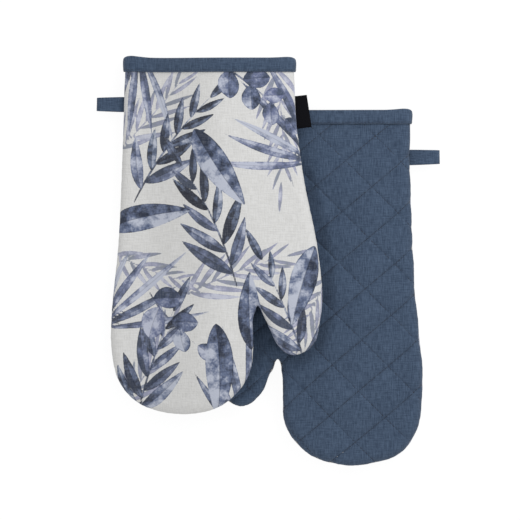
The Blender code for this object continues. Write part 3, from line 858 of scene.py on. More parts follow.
# %% A leaf as a formula
LEAF_LAYERS = ("fern", "stem", "sprig", "leaf")
LEAF_MARGIN = 2.6


def heading_axes(heading):
    """The way along a heading, in degrees, and the way to its left."""
    angle = math.radians(heading)
    return (np.array((math.cos(angle), math.sin(angle))),
            np.array((-math.sin(angle), math.cos(angle))))


class LeafPrint:
    """Collects leaves over a cloth whose vertices are at known places, in millimetres."""

    def __init__(self, places):
        self.places = places
        count = len(places)
        self.spot = {layer: np.full((count, 3), (0.0, -LEAF_MARGIN, 0.0))
                     for layer in LEAF_LAYERS}
        self.paint = {layer: np.zeros((count, 3)) for layer in LEAF_LAYERS}

    def leaf(self, layer, base, heading, length, width, bend=0.0, peak=0.42, fullness=0.85,
             tone=0.6, tint=0.2, split=0.3):
        """One leaf: from its base along its heading, with its midrib bent sideways.

        Its widest place is its peak, a share of its length, and a low fullness rounds its ends.
        """
        out, side = heading_axes(heading)
        relative = self.places - np.array(base)
        along = relative @ out
        share = along / length
        bent = relative @ side - bend * length * np.clip(share, -0.2, 1.2) ** 2
        power = math.log(0.5) / math.log(peak)
        inside = np.clip(share, 0.0, 1.0) ** power
        half = width * np.sin(np.pi * inside) ** fullness
        half = np.where(share < 0.0, along, half)
        half = np.where(share > 1.0, length - along, half)
        reach = half - np.abs(bent)
        taken = (reach > 0.0) | (reach > self.spot[layer][:, 1])
        self.spot[layer][taken] = np.stack((bent, reach, along), 1)[taken]
        self.paint[layer][taken] = (tone, tint, split)


# %% Sprigs and reeds
STEM_WIDTHS = {"fern": 0.6, "stem": 0.95}
STEM_STRETCH = 1.02
FIRST_PAIR, PAIRS_RUN, PAIR_STAGGER = 0.12, 0.84, 0.3
TIP_SHRINK, TIP_CLOSING, TIP_LEAF = 0.45, 0.35, 0.7
REED_BEND_TURN = 260.0


def add_sprig(design, layer, base, heading, length, bend, pairs, leaf_length, leaf_width,
              tone, seed, spread=42.0, tint=0.2, **shape):
    """A curved stem with leaves in pairs, smaller towards its tip, and one leaf at its end."""
    random = np.random.default_rng(seed)
    out, side = heading_axes(heading)
    stem = "fern" if layer == "fern" else "stem"
    design.leaf(stem, base, heading, length * STEM_STRETCH, STEM_WIDTHS[stem], bend,
                peak=0.3, fullness=0.5, tone=tone + 0.1, tint=tint, split=0.0)
    for pair in range(pairs):
        for flip, stagger in ((1.0, 0.0), (-1.0, PAIR_STAGGER)):
            at = FIRST_PAIR + (PAIRS_RUN * pair + stagger) / pairs
            root = np.array(base) + out * length * at + side * bend * length * at ** 2
            turned = heading + math.degrees(math.atan(2 * bend * at))
            size = (1.0 - TIP_SHRINK * at ** 1.5) * random.uniform(0.85, 1.12)
            opening = spread * (1.0 - TIP_CLOSING * at) * random.uniform(0.85, 1.15)
            design.leaf(layer, root, turned + flip * opening, leaf_length * size,
                        leaf_width * size, bend=-flip * random.uniform(0.02, 0.16),
                        tone=tone + random.uniform(-0.3, 0.25),
                        tint=tint + random.uniform(-0.15, 0.25), **shape)
    tip = np.array(base) + out * length + side * bend * length
    design.leaf(layer, tip, heading + math.degrees(math.atan(2 * bend)),
                leaf_length * TIP_LEAF, leaf_width * TIP_LEAF, tone=tone, tint=tint, **shape)


def add_reeds(design, base, heading, blades, spread, length, width, tone, tint, seed):
    """A tuft of long blades that fan out from one root."""
    random = np.random.default_rng(seed)
    for blade in range(blades):
        turn = (blade / (blades - 1) - 0.5) * spread
        design.leaf("sprig", base, heading + turn, length * random.uniform(0.7, 1.1),
                    width * random.uniform(0.8, 1.15),
                    bend=random.uniform(-0.06, 0.06) - turn / REED_BEND_TURN, peak=0.50,
                    fullness=1.1, tone=tone + random.uniform(-0.35, 0.3),
                    tint=tint + random.uniform(-0.1, 0.2), split=0.3)


# %% [markdown]
# The layout is given over one glove, as a table for each kind of plant. The sizes are in
# millimetres from the middle of the cuff, and the headings in degrees. Each layer covers the
# one before it: faint ferns, then stems, then reeds and willow, then the large leaves.

# %% Layout of the print
FERNS = (
    ((-98, -96), 40, 112, 0.12, 7, 46, 2.5, 0.44), ((58, 4), -78, 118, -0.14, 7, 44, 2.5, 0.40),
    ((-34, -226), 30, 112, -0.14, 7, 44, 2.5, 0.46),
    ((-96, -346), 52, 118, 0.12, 7, 44, 2.5, 0.44),
    ((118, -192), -122, 88, 0.06, 6, 38, 2.3, 0.44),
    ((-98, -176), -30, 88, 0.16, 6, 36, 2.3, 0.38),
)
TUFTS = (
    ((-106, -250), 46, 6, 88, 110, 4.0, 0.54, 0.25), ((40, -352), 100, 6, 88, 112, 4.0, 0.62, 0.2),
    ((98, -96), 150, 5, 80, 98, 4.0, 0.50, 0.35), ((-66, 8), -98, 5, 74, 92, 3.8, 0.62, 0.2),
)
WILLOWS = (
    ((-70, -134), 64, 118, -0.18, 5, 48, 5.6, 0.62), ((26, -214), 104, 124, 0.18, 5, 52, 5.8, 0.68),
    ((-70, -348), 80, 118, -0.14, 5, 52, 6.0, 0.60), ((94, -306), 104, 126, 0.12, 5, 48, 5.6, 0.60),
)
COINS = (
    ((2, -2), -28, 86, -0.18, 3, 27, 10.4, 0.46), ((-56, -216), -60, 66, 0.22, 2, 28, 10.8, 0.42),
)
LANCES = (
    ((-14, -66), -62, 84, 13.2, 0.10, 0.50), ((-98, -158), 20, 82, 12.2, -0.14, 0.62),
    ((98, -174), -112, 76, 12.4, 0.10, 0.50), ((6, -246), -82, 88, 13.0, -0.12, 0.52),
    ((40, -270), 98, 72, 10.8, -0.1, 0.66),
)
SPRIGS = (
    ("fern", FERNS, 20, {"spread": 38, "tint": 0.85, "split": 0.1}),
    ("sprig", WILLOWS, 40, {"tint": 0.12, "split": 0.45}),
    ("leaf", COINS, 60, {"spread": 62, "tint": 0.3, "split": 0.4, "peak": 0.52,
                         "fullness": 0.62}),
)
TUFT_SEED = 80


def paint_leaves(places):
    """The whole design over the given places, in millimetres."""
    design = LeafPrint(places)
    for number, tuft in enumerate(TUFTS):
        add_reeds(design, *tuft, seed=TUFT_SEED + number)
    for layer, plants, seed, looks in SPRIGS:
        for number, plant in enumerate(plants):
            add_sprig(design, layer, *plant, seed=seed + number, **looks)
    for base, heading, length, width, bend, tone in LANCES:
        design.leaf("leaf", base, heading, length, width, bend, fullness=0.8, tone=tone,
                    tint=0.15, split=0.60)
    return design


print(len(FERNS + TUFTS + WILLOWS + COINS + LANCES), "plants in the print")

# %% [markdown]
# Printed canvas
#
# Pigment on a cotton and linen canvas is matt, and the yarns show through it. Watercolour
# pools at the edge of a stroke and thins in its middle, so each leaf gets a dark rim, a
# cloudy wash, a dark midrib and one half darker than the other. Widths are in millimetres.

# %% Edge and tone of a leaf
RIM_WIDTH, RIM_CORE, RIM_DARK = 1.3, 0.1, 0.22
HALF_BLUR = 0.5
HALF_SHARE, CLOUD_SHARE, FADE_SHARE, GRAIN_SHARE = 0.7, 2.5, -0.0075, 0.5
# The shift takes off the middle values of the cloud and the grain.
TONE_GAIN, TONE_SHIFT = 1.15, -1.5795
FRAY, FRAY_BLUR = 0.7, 0.28


def leaf_cover(tree, reach, grain):
    """Where a leaf covers the cloth: its edge is blurred, and frayed by the cloth's grain."""
    frayed = add_node(tree, "Math", {0: grain, 1: FRAY, 2: reach},
                      operation="MULTIPLY_ADD")
    return add_node(tree, "MapRange", interpolation_type="SMOOTHSTEP",
                    inputs={"Value": frayed, "From Min": FRAY / 2 - FRAY_BLUR,
                            "From Max": FRAY / 2 + FRAY_BLUR})


def leaf_tone(tree, spots, paints, wash, grain):
    """How dark a leaf is: its own tone, its rim, its darker half, a cloud, a fade and grain."""
    rim = add_node(tree, "MapRange", interpolation_type="SMOOTHSTEP",
                   inputs={"Value": spots["Y"], "From Min": RIM_WIDTH, "From Max": RIM_CORE,
                           "To Max": RIM_DARK})
    halves = add_node(tree, "MapRange", interpolation_type="SMOOTHSTEP",
                      inputs={"Value": spots["X"], "From Min": -HALF_BLUR,
                              "From Max": HALF_BLUR, "To Min": -0.5, "To Max": 0.5})
    split = add_node(tree, "Math", {0: halves, 1: paints["Z"]}, operation="MULTIPLY")
    tone = paints["X"]
    for part, share in ((rim, 1.0), (split, HALF_SHARE), (wash, CLOUD_SHARE),
                        (spots["Z"], FADE_SHARE), (grain, GRAIN_SHARE)):
        tone = add_node(tree, "Math", {0: part, 1: share, 2: tone},
                        operation="MULTIPLY_ADD")
    return add_node(tree, "Math", {0: tone, 1: TONE_GAIN, 2: TONE_SHIFT},
                    operation="MULTIPLY_ADD")


# %% Colours of a leaf
PALE, MIDDLE, DEEP = "#C3C9D7", "#64728D", "#141B2E"
LAVENDER_PALE, LAVENDER = "#C1C5DB", "#7F83AC"
RIB_WIDTH, RIB_CORE, RIB_DARK = 0.62, 0.12, 0.75


def leaf_colour(tree, tone, paints, away):
    """Slate or lavender by the leaf's tint, and a dark midrib."""
    colours = []
    for pale, middle, dark in ((PALE, MIDDLE, DEEP), (LAVENDER_PALE, LAVENDER, MIDDLE)):
        ramp = add_node(tree, "ValToRGB", {"Fac": tone})
        ramp.color_ramp.elements[0].color = linear(pale)
        ramp.color_ramp.elements[1].color = linear(dark)
        ramp.color_ramp.elements.new(0.5).color = linear(middle)
        colours.append(ramp.outputs[0])
    leaf = add_node(tree, "Mix", data_type="RGBA",
                    inputs={"Factor": paints["Y"], "A": colours[0], "B": colours[1]})
    rib = add_node(tree, "MapRange", interpolation_type="SMOOTHSTEP",
                   inputs={"Value": away, "From Min": RIB_WIDTH, "From Max": RIB_CORE,
                           "To Max": RIB_DARK})
    rib_share = add_node(tree, "Math", {0: rib, 1: paints["Z"]}, operation="MULTIPLY")
    return add_node(tree, "Mix", data_type="RGBA",
                    inputs={"Factor": rib_share, "A": leaf.outputs["Result"], "B": linear(DEEP)})


def paint_layer(tree, layer, below, wash, grain, opacity):
    """Draws one layer of leaves over the colour below it."""
    kept = []
    for name in ("spot", "paint"):
        numbers = add_node(tree, "Attribute", attribute_name=f"{layer}_{name}")
        parts = add_node(tree, "SeparateXYZ", {0: numbers.outputs["Vector"]})
        kept.append(parts.outputs)
    spots, paints = kept
    away = add_node(tree, "Math", {0: spots["X"]}, operation="ABSOLUTE")
    tone = leaf_tone(tree, spots, paints, wash, grain)
    leaf = leaf_colour(tree, tone, paints, away)
    cover = add_node(tree, "Math", {0: leaf_cover(tree, spots["Y"], grain), 1: opacity},
                     operation="MULTIPLY")
    mixed = add_node(tree, "Mix", data_type="RGBA",
                     inputs={"Factor": cover, "A": below, "B": leaf.outputs["Result"]})
    return mixed.outputs["Result"]


# %% Canvas material
GROUND, GROUND_SHADE, BARE_YARN = "#E7E7E6", "#A8A49A", "#C2C6CE"
CLOUD_PATCH, GRAIN_PATCH = 13.33, 1.818
OPACITIES = {"fern": 0.75, "stem": 0.92, "sprig": 0.97, "leaf": 1.0}


def printed_canvas():
    """The canvas, its mottled ground, four layers of leaves, and bare yarns over them."""
    material, tree, shader = new_material("printed_cotton_linen_canvas", roughness=0.9,
                                          sheen=0.08, specular=0.2)
    place = flat_map(tree)
    warp, weft = add_weave(tree, shader, place, YARN_PITCH, depth=0.00020, roughen=0.9)
    wash = add_node(tree, "TexNoise", {"Vector": place, "Scale": 1.0 / CLOUD_PATCH,
                                                 "Detail": 3.0, "Roughness": 0.6})
    grain = add_node(tree, "TexNoise",
                     {"Vector": place, "Scale": 1.0 / GRAIN_PATCH, "Detail": 2.0})
    slub = add_node(tree, "Math", {0: warp, 1: weft}, operation="ADD")
    mottle = add_node(tree, "MapRange", {"Value": slub, "From Min": 0.75,
                                                   "From Max": 1.35, "To Max": 0.30})
    ground = add_node(tree, "Mix", data_type="RGBA",
                      inputs={"Factor": mottle, "A": linear(GROUND), "B": linear(GROUND_SHADE)})
    colour = ground.outputs["Result"]
    for layer in LEAF_LAYERS:
        colour = paint_layer(tree, layer, colour, wash, grain, OPACITIES[layer])
    faded = add_node(tree, "MapRange", {"Value": slub, "From Min": 0.9,
                                                  "From Max": 1.4, "To Max": 0.14})
    yarns = add_node(tree, "Mix", data_type="RGBA",
                     inputs={"Factor": faded, "A": colour, "B": linear(BARE_YARN)})
    tree.links.new(yarns.outputs["Result"], shader.inputs["Base Color"])
    return material


CANVAS = printed_canvas()
print("made", CANVAS.name)

# %% [markdown]
# The outer panels
#
# Each glove has a printed and a quilted panel. Both are laid from their flat cut, and then
# Solidify gives the cloth its thickness, inwards from the face that shows.

# %% From a flat cut to a panel
ROLL_STEPS = 181


def store_vectors(data, name, values):
    """Keeps three numbers for each vertex, for the materials."""
    attribute = data.attributes.new(name, "FLOAT_VECTOR", "POINT")
    attribute.data.foreach_set("vector", np.asarray(values, dtype=np.float32).ravel())


def cloth_cut(flat, surface):
    """Flat places on the cloth as it was cut: round the roll it needs more than is seen."""
    seam_inset, drop = surface
    within, inward, _ = edge_facts(flat)
    turns = np.linspace(0.0, math.pi / 2, ROLL_STEPS)
    seen = EDGE_WIDTH * (1.0 - np.cos(turns))
    heights = (HALF_HEIGHT - HALF_SEAM - drop) * roll_rise(turns)
    lengths = np.hypot(np.diff(seen + seam_inset * np.cos(turns)), np.diff(heights))
    to_flat = np.append(np.cumsum(lengths[::-1])[::-1], 0.0)
    extra = to_flat - (EDGE_WIDTH - seen)
    return flat - inward * np.interp(within, seen, extra)[:, None], extra[0]


def thicken(piece, thickness, offset=-1.0):
    """Gives a sheet its thickness, inwards from the face that shows unless offset says else."""
    shell = piece.modifiers.new("cloth", "SOLIDIFY")
    shell.thickness = thickness
    shell.offset = offset


def make_cloth(glove, side, name, material, slot, node, mesh, surface, thickness, **lie):
    """One layer of cloth, from its flat cut to its place round the padding."""
    if side == QUILTED:
        bmesh.ops.reverse_faces(mesh, faces=mesh.faces[:])
    piece = new_piece(f"{glove.name}_{name}", mesh, material, glove.body, slot,
                      f"{glove.name}_{node}")
    data = piece.data
    flat = vertex_places(data)[:, :2]
    cut, extra = cloth_cut(flat, surface)
    spread = np.zeros((len(cut), 3))
    spread[:, :2] = cut
    set_places(data, spread)
    store_vectors(data, "flat_mm", spread * MILLIMETRES)
    set_places(data, lay_cloth(glove, side, flat, surface, **lie))
    thicken(piece, thickness)
    return piece, cut


# %% Outer panels
EDGE_RINGS = 11
FIELD_STEP = 0.00125
DIAMOND_CELLS = 13
PRINT_SHIFTS = {"front": (0.0, 0.0), "rear": (37.0, 61.0)}

for glove in GLOVES:
    mesh = flat_cut(EDGE_RINGS, 1, square_cuts(FIELD_STEP))
    piece, cut = make_cloth(glove, PRINTED, "printed_canvas", CANVAS, "printed_cloth",
                            "printed_panel", mesh, OUTER_FACE, OUTER_CLOTH)
    design = paint_leaves(cut * MILLIMETRES + np.array(PRINT_SHIFTS[glove.name]))
    for layer in LEAF_LAYERS:
        store_vectors(piece.data, f"{layer}_spot", design.spot[layer])
        store_vectors(piece.data, f"{layer}_paint", design.paint[layer])
    mesh = flat_cut(EDGE_RINGS, 1, diamond_cuts(DIAMOND_CELLS), crease_cuts())
    make_cloth(glove, QUILTED, "quilted_chambray", CHAMBRAY, "chambray", "quilted_panel", mesh,
               OUTER_FACE, OUTER_CLOTH, quilted=True)

# %% [markdown]
# Linings and batting
#
# Inside are two more layers a side. The lining is a plain white cotton, smooth and matt, and
# the batting is a needled web of cotton, so it looks fibrous. Real lining yarns are 0.4 mm
# apart, and here they are drawn 1.2 mm apart to show at all. Nobody sees these layers but
# through the mouth, so their cells are larger. The batting is closed, because it has real bulk.

# %% Lining cotton and cotton batting
LINING_PITCH = 1.2
FIBRE_LENGTH = 2.38


def plain_lining():
    """A plain white cotton lining."""
    material, tree, shader = new_material("plain_weave_lining_cotton", roughness=0.9,
                                          sheen=0.1, specular=0.2)
    warp, _ = add_weave(tree, shader, flat_map(tree), LINING_PITCH, depth=0.00012, roughen=0.8)
    colour_cloth(tree, shader, warp, "#BDBEC0", "#D0D0CF")
    return material


def cotton_batting():
    """Needled cotton fibres, unbleached."""
    material, tree, shader = new_material("needled_cotton_batting", roughness=1.0, sheen=0.25,
                                          specular=0.1)
    place = add_node(tree, "TexCoord").outputs["Object"]
    fibres = add_node(tree, "TexNoise",
                      {"Vector": place, "Scale": MILLIMETRES / FIBRE_LENGTH, "Detail": 4.0,
                       "Distortion": 1.5})
    add_relief(tree, shader, fibres, 0.0006)
    colour_cloth(tree, shader, fibres, "#D9D4C6", "#ECE8DC")
    return material


LINING = plain_lining()
BATTING = cotton_batting()
print("made", LINING.name, "and", BATTING.name)

# %% Inner layers
SEAM_THREAD_RADIUS = 0.00035
SEAM_LAP = 0.0026
THREAD_INSET = OUTER_CLOTH + CLEARANCE + SEAM_THREAD_RADIUS
BATTING_FACE = (THREAD_INSET + SEAM_THREAD_RADIUS + CLEARANCE, OUTER_CLOTH + CLEARANCE)
BATTING_BACK = (BATTING_FACE[0] + SEAM_LAP, BATTING_FACE[1] + WADDING)
LINING_FACE = (BATTING_BACK[0] + CLEARANCE, BATTING_BACK[1] + CLEARANCE)
LINING_BACK = (LINING_FACE[0] + LINING_CLOTH, LINING_FACE[1] + LINING_CLOTH)
INNER_RINGS, INNER_EVERY, INNER_STEP, INNER_CELLS = 7, 2, 0.0030, 7


def make_batting(glove, side, side_name):
    """A closed pad between an outer surface and an inner one."""
    quilted = side == QUILTED
    cuts = diamond_cuts(INNER_CELLS) if quilted else square_cuts(INNER_STEP)
    mesh = flat_cut(INNER_RINGS, INNER_EVERY, cuts)
    back = mesh.verts.layers.float.new("back")
    grown = bmesh.ops.extrude_face_region(mesh, geom=mesh.faces[:])
    for item in grown["geom"]:
        if isinstance(item, bmesh.types.BMVert):
            item[back] = 1.0
    is_back = np.array([vertex[back] > 0.5 for vertex in mesh.verts])
    flat = np.array([vertex.co[:2] for vertex in mesh.verts])
    places = np.where(is_back[:, None],
                      lay_cloth(glove, side, flat, BATTING_BACK, follows=0.0),
                      lay_cloth(glove, side, flat, BATTING_FACE, quilted=quilted))
    for vertex, place in zip(mesh.verts, places):
        vertex.co = place
    bmesh.ops.recalc_face_normals(mesh, faces=mesh.faces[:])
    pad = new_piece(f"{glove.name}_{side_name}_batting", mesh, BATTING, glove.body, "wadding",
                    f"{glove.name}_{side_name}_wadding")
    print(pad.name, len(pad.data.polygons), "faces")


for glove in GLOVES:
    for side, side_name in SIDES:
        make_batting(glove, side, side_name)
        mesh = flat_cut(INNER_RINGS, INNER_EVERY, square_cuts(INNER_STEP))
        make_cloth(glove, side, f"{side_name}_lining_cloth", LINING, "lining",
                   f"{side_name}_lining", mesh, LINING_FACE, LINING_CLOTH, follows=0.0)

# %% [markdown]
# Stitches
#
# A lockstitch shows as a row of short dashes, because the thread dives through the cloth
# between them. One thin tube that rises and dives along its path gives just that, so each
# row is one grid rolled into a tube. How deep it sinks varies, as it does in soft padding.
# The thread is spun polyester, which looks soft and dark with a faint mottle. Its real twist
# is 0.3 mm long, too fine for the render, so the mottle is drawn 1.1 mm long.

# %% Sewing thread
TWIST_LENGTH = 1.11


def sewing_thread():
    """Dark blue spun polyester, mottled by its twist."""
    material, tree, shader = new_material("spun_polyester_sewing_thread", roughness=0.6,
                                          sheen=0.15, specular=0.35)
    place = add_node(tree, "TexCoord").outputs["Object"]
    twist = add_node(tree, "TexNoise",
                     {"Vector": place, "Scale": MILLIMETRES / TWIST_LENGTH})
    colour_cloth(tree, shader, twist, "#1B2435", "#2C384E")
    return material


THREAD = sewing_thread()
print("made", THREAD.name)

# %% Paths
def unit_rows(vectors):
    """The same vectors, each one unit long."""
    return vectors / np.linalg.norm(vectors, axis=1)[:, None]


def travelled_along(points):
    """How far along a path each of its points lies."""
    gaps = np.linalg.norm(np.diff(points, axis=0), axis=1)
    return np.concatenate(((0.0,), np.cumsum(gaps)))


def evenly(points, step):
    """Places along a path at an even step."""
    reach = travelled_along(points)
    wanted = np.arange(0.0, reach[-1], step)
    return np.stack([np.interp(wanted, reach, axis) for axis in points.T], 1)


# %% Rows of stitches
STITCH = 0.0034
STITCH_STEPS = 8
STITCH_SIDES = 6
DIVE_START = 0.35


def add_stitches(mesh, centres, ups, radius, dive, sink=0.0):
    """A tube along a path, which dives below it once a stitch, and is sunk by some radii."""
    count = len(centres) - 1
    if count < STITCH_STEPS:
        return
    sides = unit_rows(np.cross(unit_rows(np.gradient(centres, axis=0)), ups))
    phase = np.arange(count + 1) / STITCH_STEPS * 2 * np.pi
    depth = dive * np.clip(np.cos(phase) - DIVE_START, 0.0, 1.0)
    middles = centres + ups * (radius * (0.5 - sink) - depth)[:, None]
    for vertex, step, corner in add_grid(mesh, count, STITCH_SIDES):
        turn = 2 * math.pi * corner / STITCH_SIDES
        spread = sides[step] * math.cos(turn) + ups[step] * math.sin(turn)
        vertex.co = middles[step] + spread * radius


def finish_stitches(mesh, glove, seam):
    """Joins the long sides of rolled grids, and links them as one piece."""
    bmesh.ops.remove_doubles(mesh, verts=mesh.verts[:], dist=MERGE_DISTANCE)
    bmesh.ops.holes_fill(mesh, edges=mesh.edges[:], sides=STITCH_SIDES)
    bmesh.ops.recalc_face_normals(mesh, faces=mesh.faces[:])
    stitches = new_piece(f"{glove.name}_{seam}_stitches", mesh, THREAD, glove.body, "thread",
                         f"{glove.name}_{seam}_thread")
    print(stitches.name, len(stitches.data.polygons), "faces")


# %% Quilting stitches
QUILT_THREAD_RADIUS = 0.00031
QUILT_DIVE = 0.0009
SINK_EVEN, SINK_MORE, SINK_UNEVEN, SINK_MOST = 0.3, 1.1, 1.7, 2.0
SINK_LENGTHS, SINK_SEED = (0.0063, 0.0097, 0.0158), 100
PROBE_LIFT = 0.001
SEAM_MARGIN = 0.0012
LINE_LENGTHS = 1.3


def surface_path(glove, flat):
    """Places on the quilted face along a flat path, and the way up from the cloth there."""
    centres, above = (lay_cloth(glove, QUILTED, flat, OUTER_FACE, quilted=True, lift_off=lift)
                      for lift in (0.0, PROBE_LIFT))
    return centres, unit_rows(above - centres)


def inside_runs(points):
    """Splits a flat path into its runs inside the glove, clear of the seam and the binding."""
    inside = is_inside(points) & (edge_facts(points)[0] > SEAM_MARGIN)
    inside &= points[:, 1] < -BINDING_DEPTH
    splits = np.flatnonzero(np.diff(inside.astype(int))) + 1
    return [run for run, keep in zip(np.split(points, splits), np.split(inside, splits))
            if keep[0]]


def make_quilting(glove):
    """All the stitched lines of one quilted panel."""
    mesh = bmesh.new()
    along = np.arange(-GLOVE_LENGTH * LINE_LENGTHS, GLOVE_LENGTH * LINE_LENGTHS,
                      STITCH / STITCH_STEPS)
    for normal, pitch, shift, pull in LINE_SETS:
        run = np.array((-normal[1], normal[0]))
        reaches = (OUTLINE @ normal - shift) / pitch
        for line in range(math.ceil(reaches.min()), math.floor(reaches.max()) + 1):
            for path in inside_runs(normal * (shift + pitch * line) + along[:, None] * run):
                sink = SINK_UNEVEN * waves(path, SINK_LENGTHS, line + SINK_SEED)
                sink += SINK_EVEN + SINK_MORE * (1.0 - pull)
                add_stitches(mesh, *surface_path(glove, path), QUILT_THREAD_RADIUS, QUILT_DIVE,
                             np.clip(sink, 0.0, SINK_MOST))
    finish_stitches(mesh, glove, "quilting")


for glove in GLOVES:
    make_quilting(glove)

# %% [markdown]
# The side seam is sewn inside out, so its stitches end up between the outer cloth and the
# batting, a millimetre and a half in from the edge.

# %% Side seam stitches
for glove in GLOVES:
    mesh = bmesh.new()
    seam = np.array([(place + normal * (THREAD_INSET + cuff_nip(place.y)))[:]
                     for place, normal, _ in STATIONS])
    seam[:, 1] -= corner_dip(0.0, seam[:, 1])
    seam = evenly(seam, STITCH / STITCH_STEPS)
    local = np.hstack((seam, np.zeros((len(seam), 1))))
    ups = np.full(local.shape, (0.0, 0.0, 1.0))
    add_stitches(mesh, glove.to_world(local, seam[:, 0]), ups, SEAM_THREAD_RADIUS,
                 SEAM_THREAD_RADIUS)
    finish_stitches(mesh, glove, "seam")

# %% [markdown]
# Cuff binding
#
# A strip of chambray is folded over the raw edges of all six layers round the mouth. Its cut
# is a plain strip, so the mesh is one grid: round the mouth one way, and over the fold the
# other. The bulky side seams lift it at both corners, and the stitching pulls its edge in.

# %% Round the mouth
CORNER_RISES, CORNER_REACH = (0.0014, 0.0008), 0.0130
MOUTH_TURNS = 20
MOUTH_STEP = 0.0018


def mouth_stations():
    """Places round the mouth: the turn round the edge, x, the way in, and the side."""
    left, right = OUTLINE[0][0], OUTLINE[-1][0]
    turns = [math.pi / 2 * step / MOUTH_TURNS for step in range(MOUTH_TURNS + 1)]
    row = [(turn, left + EDGE_WIDTH * (1 - math.cos(turn)), 1.0) for turn in turns]
    low, high = left + EDGE_WIDTH, right - EDGE_WIDTH
    count = round((high - low) / MOUTH_STEP)
    row += [(math.pi / 2, low + (high - low) * step / count, 0.0) for step in range(1, count)]
    row += [(turn, right - EDGE_WIDTH * (1 - math.cos(turn)), -1.0) for turn in reversed(turns)]
    upper = [(*station, PRINTED) for station in row]
    lower = [(*station, QUILTED) for station in reversed(row[1:-1])]
    return upper + lower


def mouth_place(glove, station, inset, drop, along, on_table=True):
    """A world place at one station round the mouth. The side that lies down is kept flat."""
    turn, across, inward, side = station
    height = (HALF_HEIGHT - drop) * roll_rise(turn)
    if on_table and side != glove.up_side:
        height = min(height, HALF_HEIGHT - CLEARANCE)
    reach = EDGE_WIDTH + CORNER_REACH
    rise = sum(corner * smooth_step(1.0 - abs(across - end) / reach)
               for corner, end in zip(CORNER_RISES, (OUTLINE[0][0], OUTLINE[-1][0])))
    rise *= 1.0 + along / BINDING_DEPTH
    rise -= corner_dip(turn, along)
    moved = across + inward * (inset + cuff_nip(along)) * math.cos(turn)
    local = np.array(((moved, along + rise, side * height),))
    return glove.to_world(local, np.array((across,)))[0]


MOUTH = mouth_stations()
print(len(MOUTH), "stations round the mouth")

# %% The fold
FOLD_RADIUS = 0.0028
FOLD_POWER = 0.75
BAND_BULGE, BULGE_POWER, BULGE_SIDEWAYS = 0.0014, 0.5, 0.3
FOLD_OUTSIDE = -(CLEARANCE + BINDING_CLOTH)
FOLD_INSIDE_INSET, FOLD_INSIDE = (back + CLEARANCE + BINDING_CLOTH for back in LINING_BACK)
OUTSIDE_ROWS, FOLD_ROWS, INSIDE_ROWS = 9, 8, 6


def band_face(share):
    """Inset and drop of the padded band, which swells between its stitches and its fold."""
    bulge = BAND_BULGE * math.sin(math.pi * share) ** BULGE_POWER
    return FOLD_OUTSIDE - BULGE_SIDEWAYS * bulge, CUFF_SQUEEZE + FOLD_OUTSIDE - bulge


def fold_profile():
    """The fold seen from its end: inset, drop and place below the cuff, from outside to in."""
    profile = []
    band = BINDING_DEPTH - FOLD_RADIUS
    for row in range(OUTSIDE_ROWS):
        share = row / OUTSIDE_ROWS
        profile.append((*band_face(share), -BINDING_DEPTH + band * share))
    outside = np.array((FOLD_OUTSIDE, CUFF_SQUEEZE + FOLD_OUTSIDE))
    inside = np.array((FOLD_INSIDE_INSET, FOLD_INSIDE))
    for row in range(FOLD_ROWS + 1):
        turn = math.pi * row / FOLD_ROWS
        swing = math.copysign(abs(math.cos(turn)) ** FOLD_POWER, math.cos(turn))
        face = (outside + inside) / 2 - (inside - outside) / 2 * swing
        profile.append((*face, FOLD_RADIUS * (math.sin(turn) ** FOLD_POWER - 1.0)))
    for row in range(1, INSIDE_ROWS + 1):
        profile.append((*inside, -FOLD_RADIUS - band * row / INSIDE_ROWS))
    return profile


# %% Binding strip
def make_binding(glove):
    """The folded strip round one glove's mouth."""
    profile = fold_profile()
    count, rows = len(MOUTH), len(profile) - 1
    mesh = bmesh.new()
    flat = mesh.verts.layers.float_vector.new("flat_mm")
    edge = [mouth_place(glove, station, *profile[0]) for station in MOUTH + MOUTH[:1]]
    travelled, reached = travelled_along(edge), travelled_along(np.array(profile)[:, 1:])
    for vertex, column, row in add_grid(mesh, count, rows):
        vertex[flat] = (travelled[column] * MILLIMETRES, reached[row] * MILLIMETRES, 0.0)
        vertex.co = mouth_place(glove, MOUTH[column % count], *profile[row])
    bmesh.ops.remove_doubles(mesh, verts=mesh.verts[:], dist=MERGE_DISTANCE)
    bmesh.ops.recalc_face_normals(mesh, faces=mesh.faces[:])
    strip = new_piece(f"{glove.name}_cuff_binding_strip", mesh, CHAMBRAY, glove.body,
                      "chambray", f"{glove.name}_cuff_binding")
    thicken(strip, BINDING_CLOTH)
    print(f"{strip.name}: {travelled[-1] * MILLIMETRES:.1f} mm round, "
          f"{reached[-1] * MILLIMETRES:.1f} mm wide")


# %% Binding stitches
BINDING_STITCH_INSET = 0.0018
BINDING_THREAD_RADIUS = 0.00025
BINDING_DIVE = 0.0006


def make_binding_stitches(glove):
    """The stitched row that holds the binding, a little above its edge."""
    share = BINDING_STITCH_INSET / (BINDING_DEPTH - FOLD_RADIUS)
    inset, drop = band_face(share)
    inset += BULGE_SIDEWAYS * BINDING_THREAD_RADIUS
    drop += BINDING_THREAD_RADIUS
    along = -BINDING_DEPTH + BINDING_STITCH_INSET
    stations = MOUTH + MOUTH[:1]
    row = np.array([mouth_place(glove, station, inset, drop, along) for station in stations])
    free, above = (np.array([mouth_place(glove, station, inset - out, drop - out, along, False)
                             for station in stations]) for out in (0.0, PROBE_LIFT))
    both = evenly(np.hstack((row, above - free)), STITCH / STITCH_STEPS)
    mesh = bmesh.new()
    add_stitches(mesh, both[:, :3], unit_rows(both[:, 3:]), BINDING_THREAD_RADIUS, BINDING_DIVE)
    finish_stitches(mesh, glove, "binding")


for glove in GLOVES:
    make_binding(glove)
    make_binding_stitches(glove)

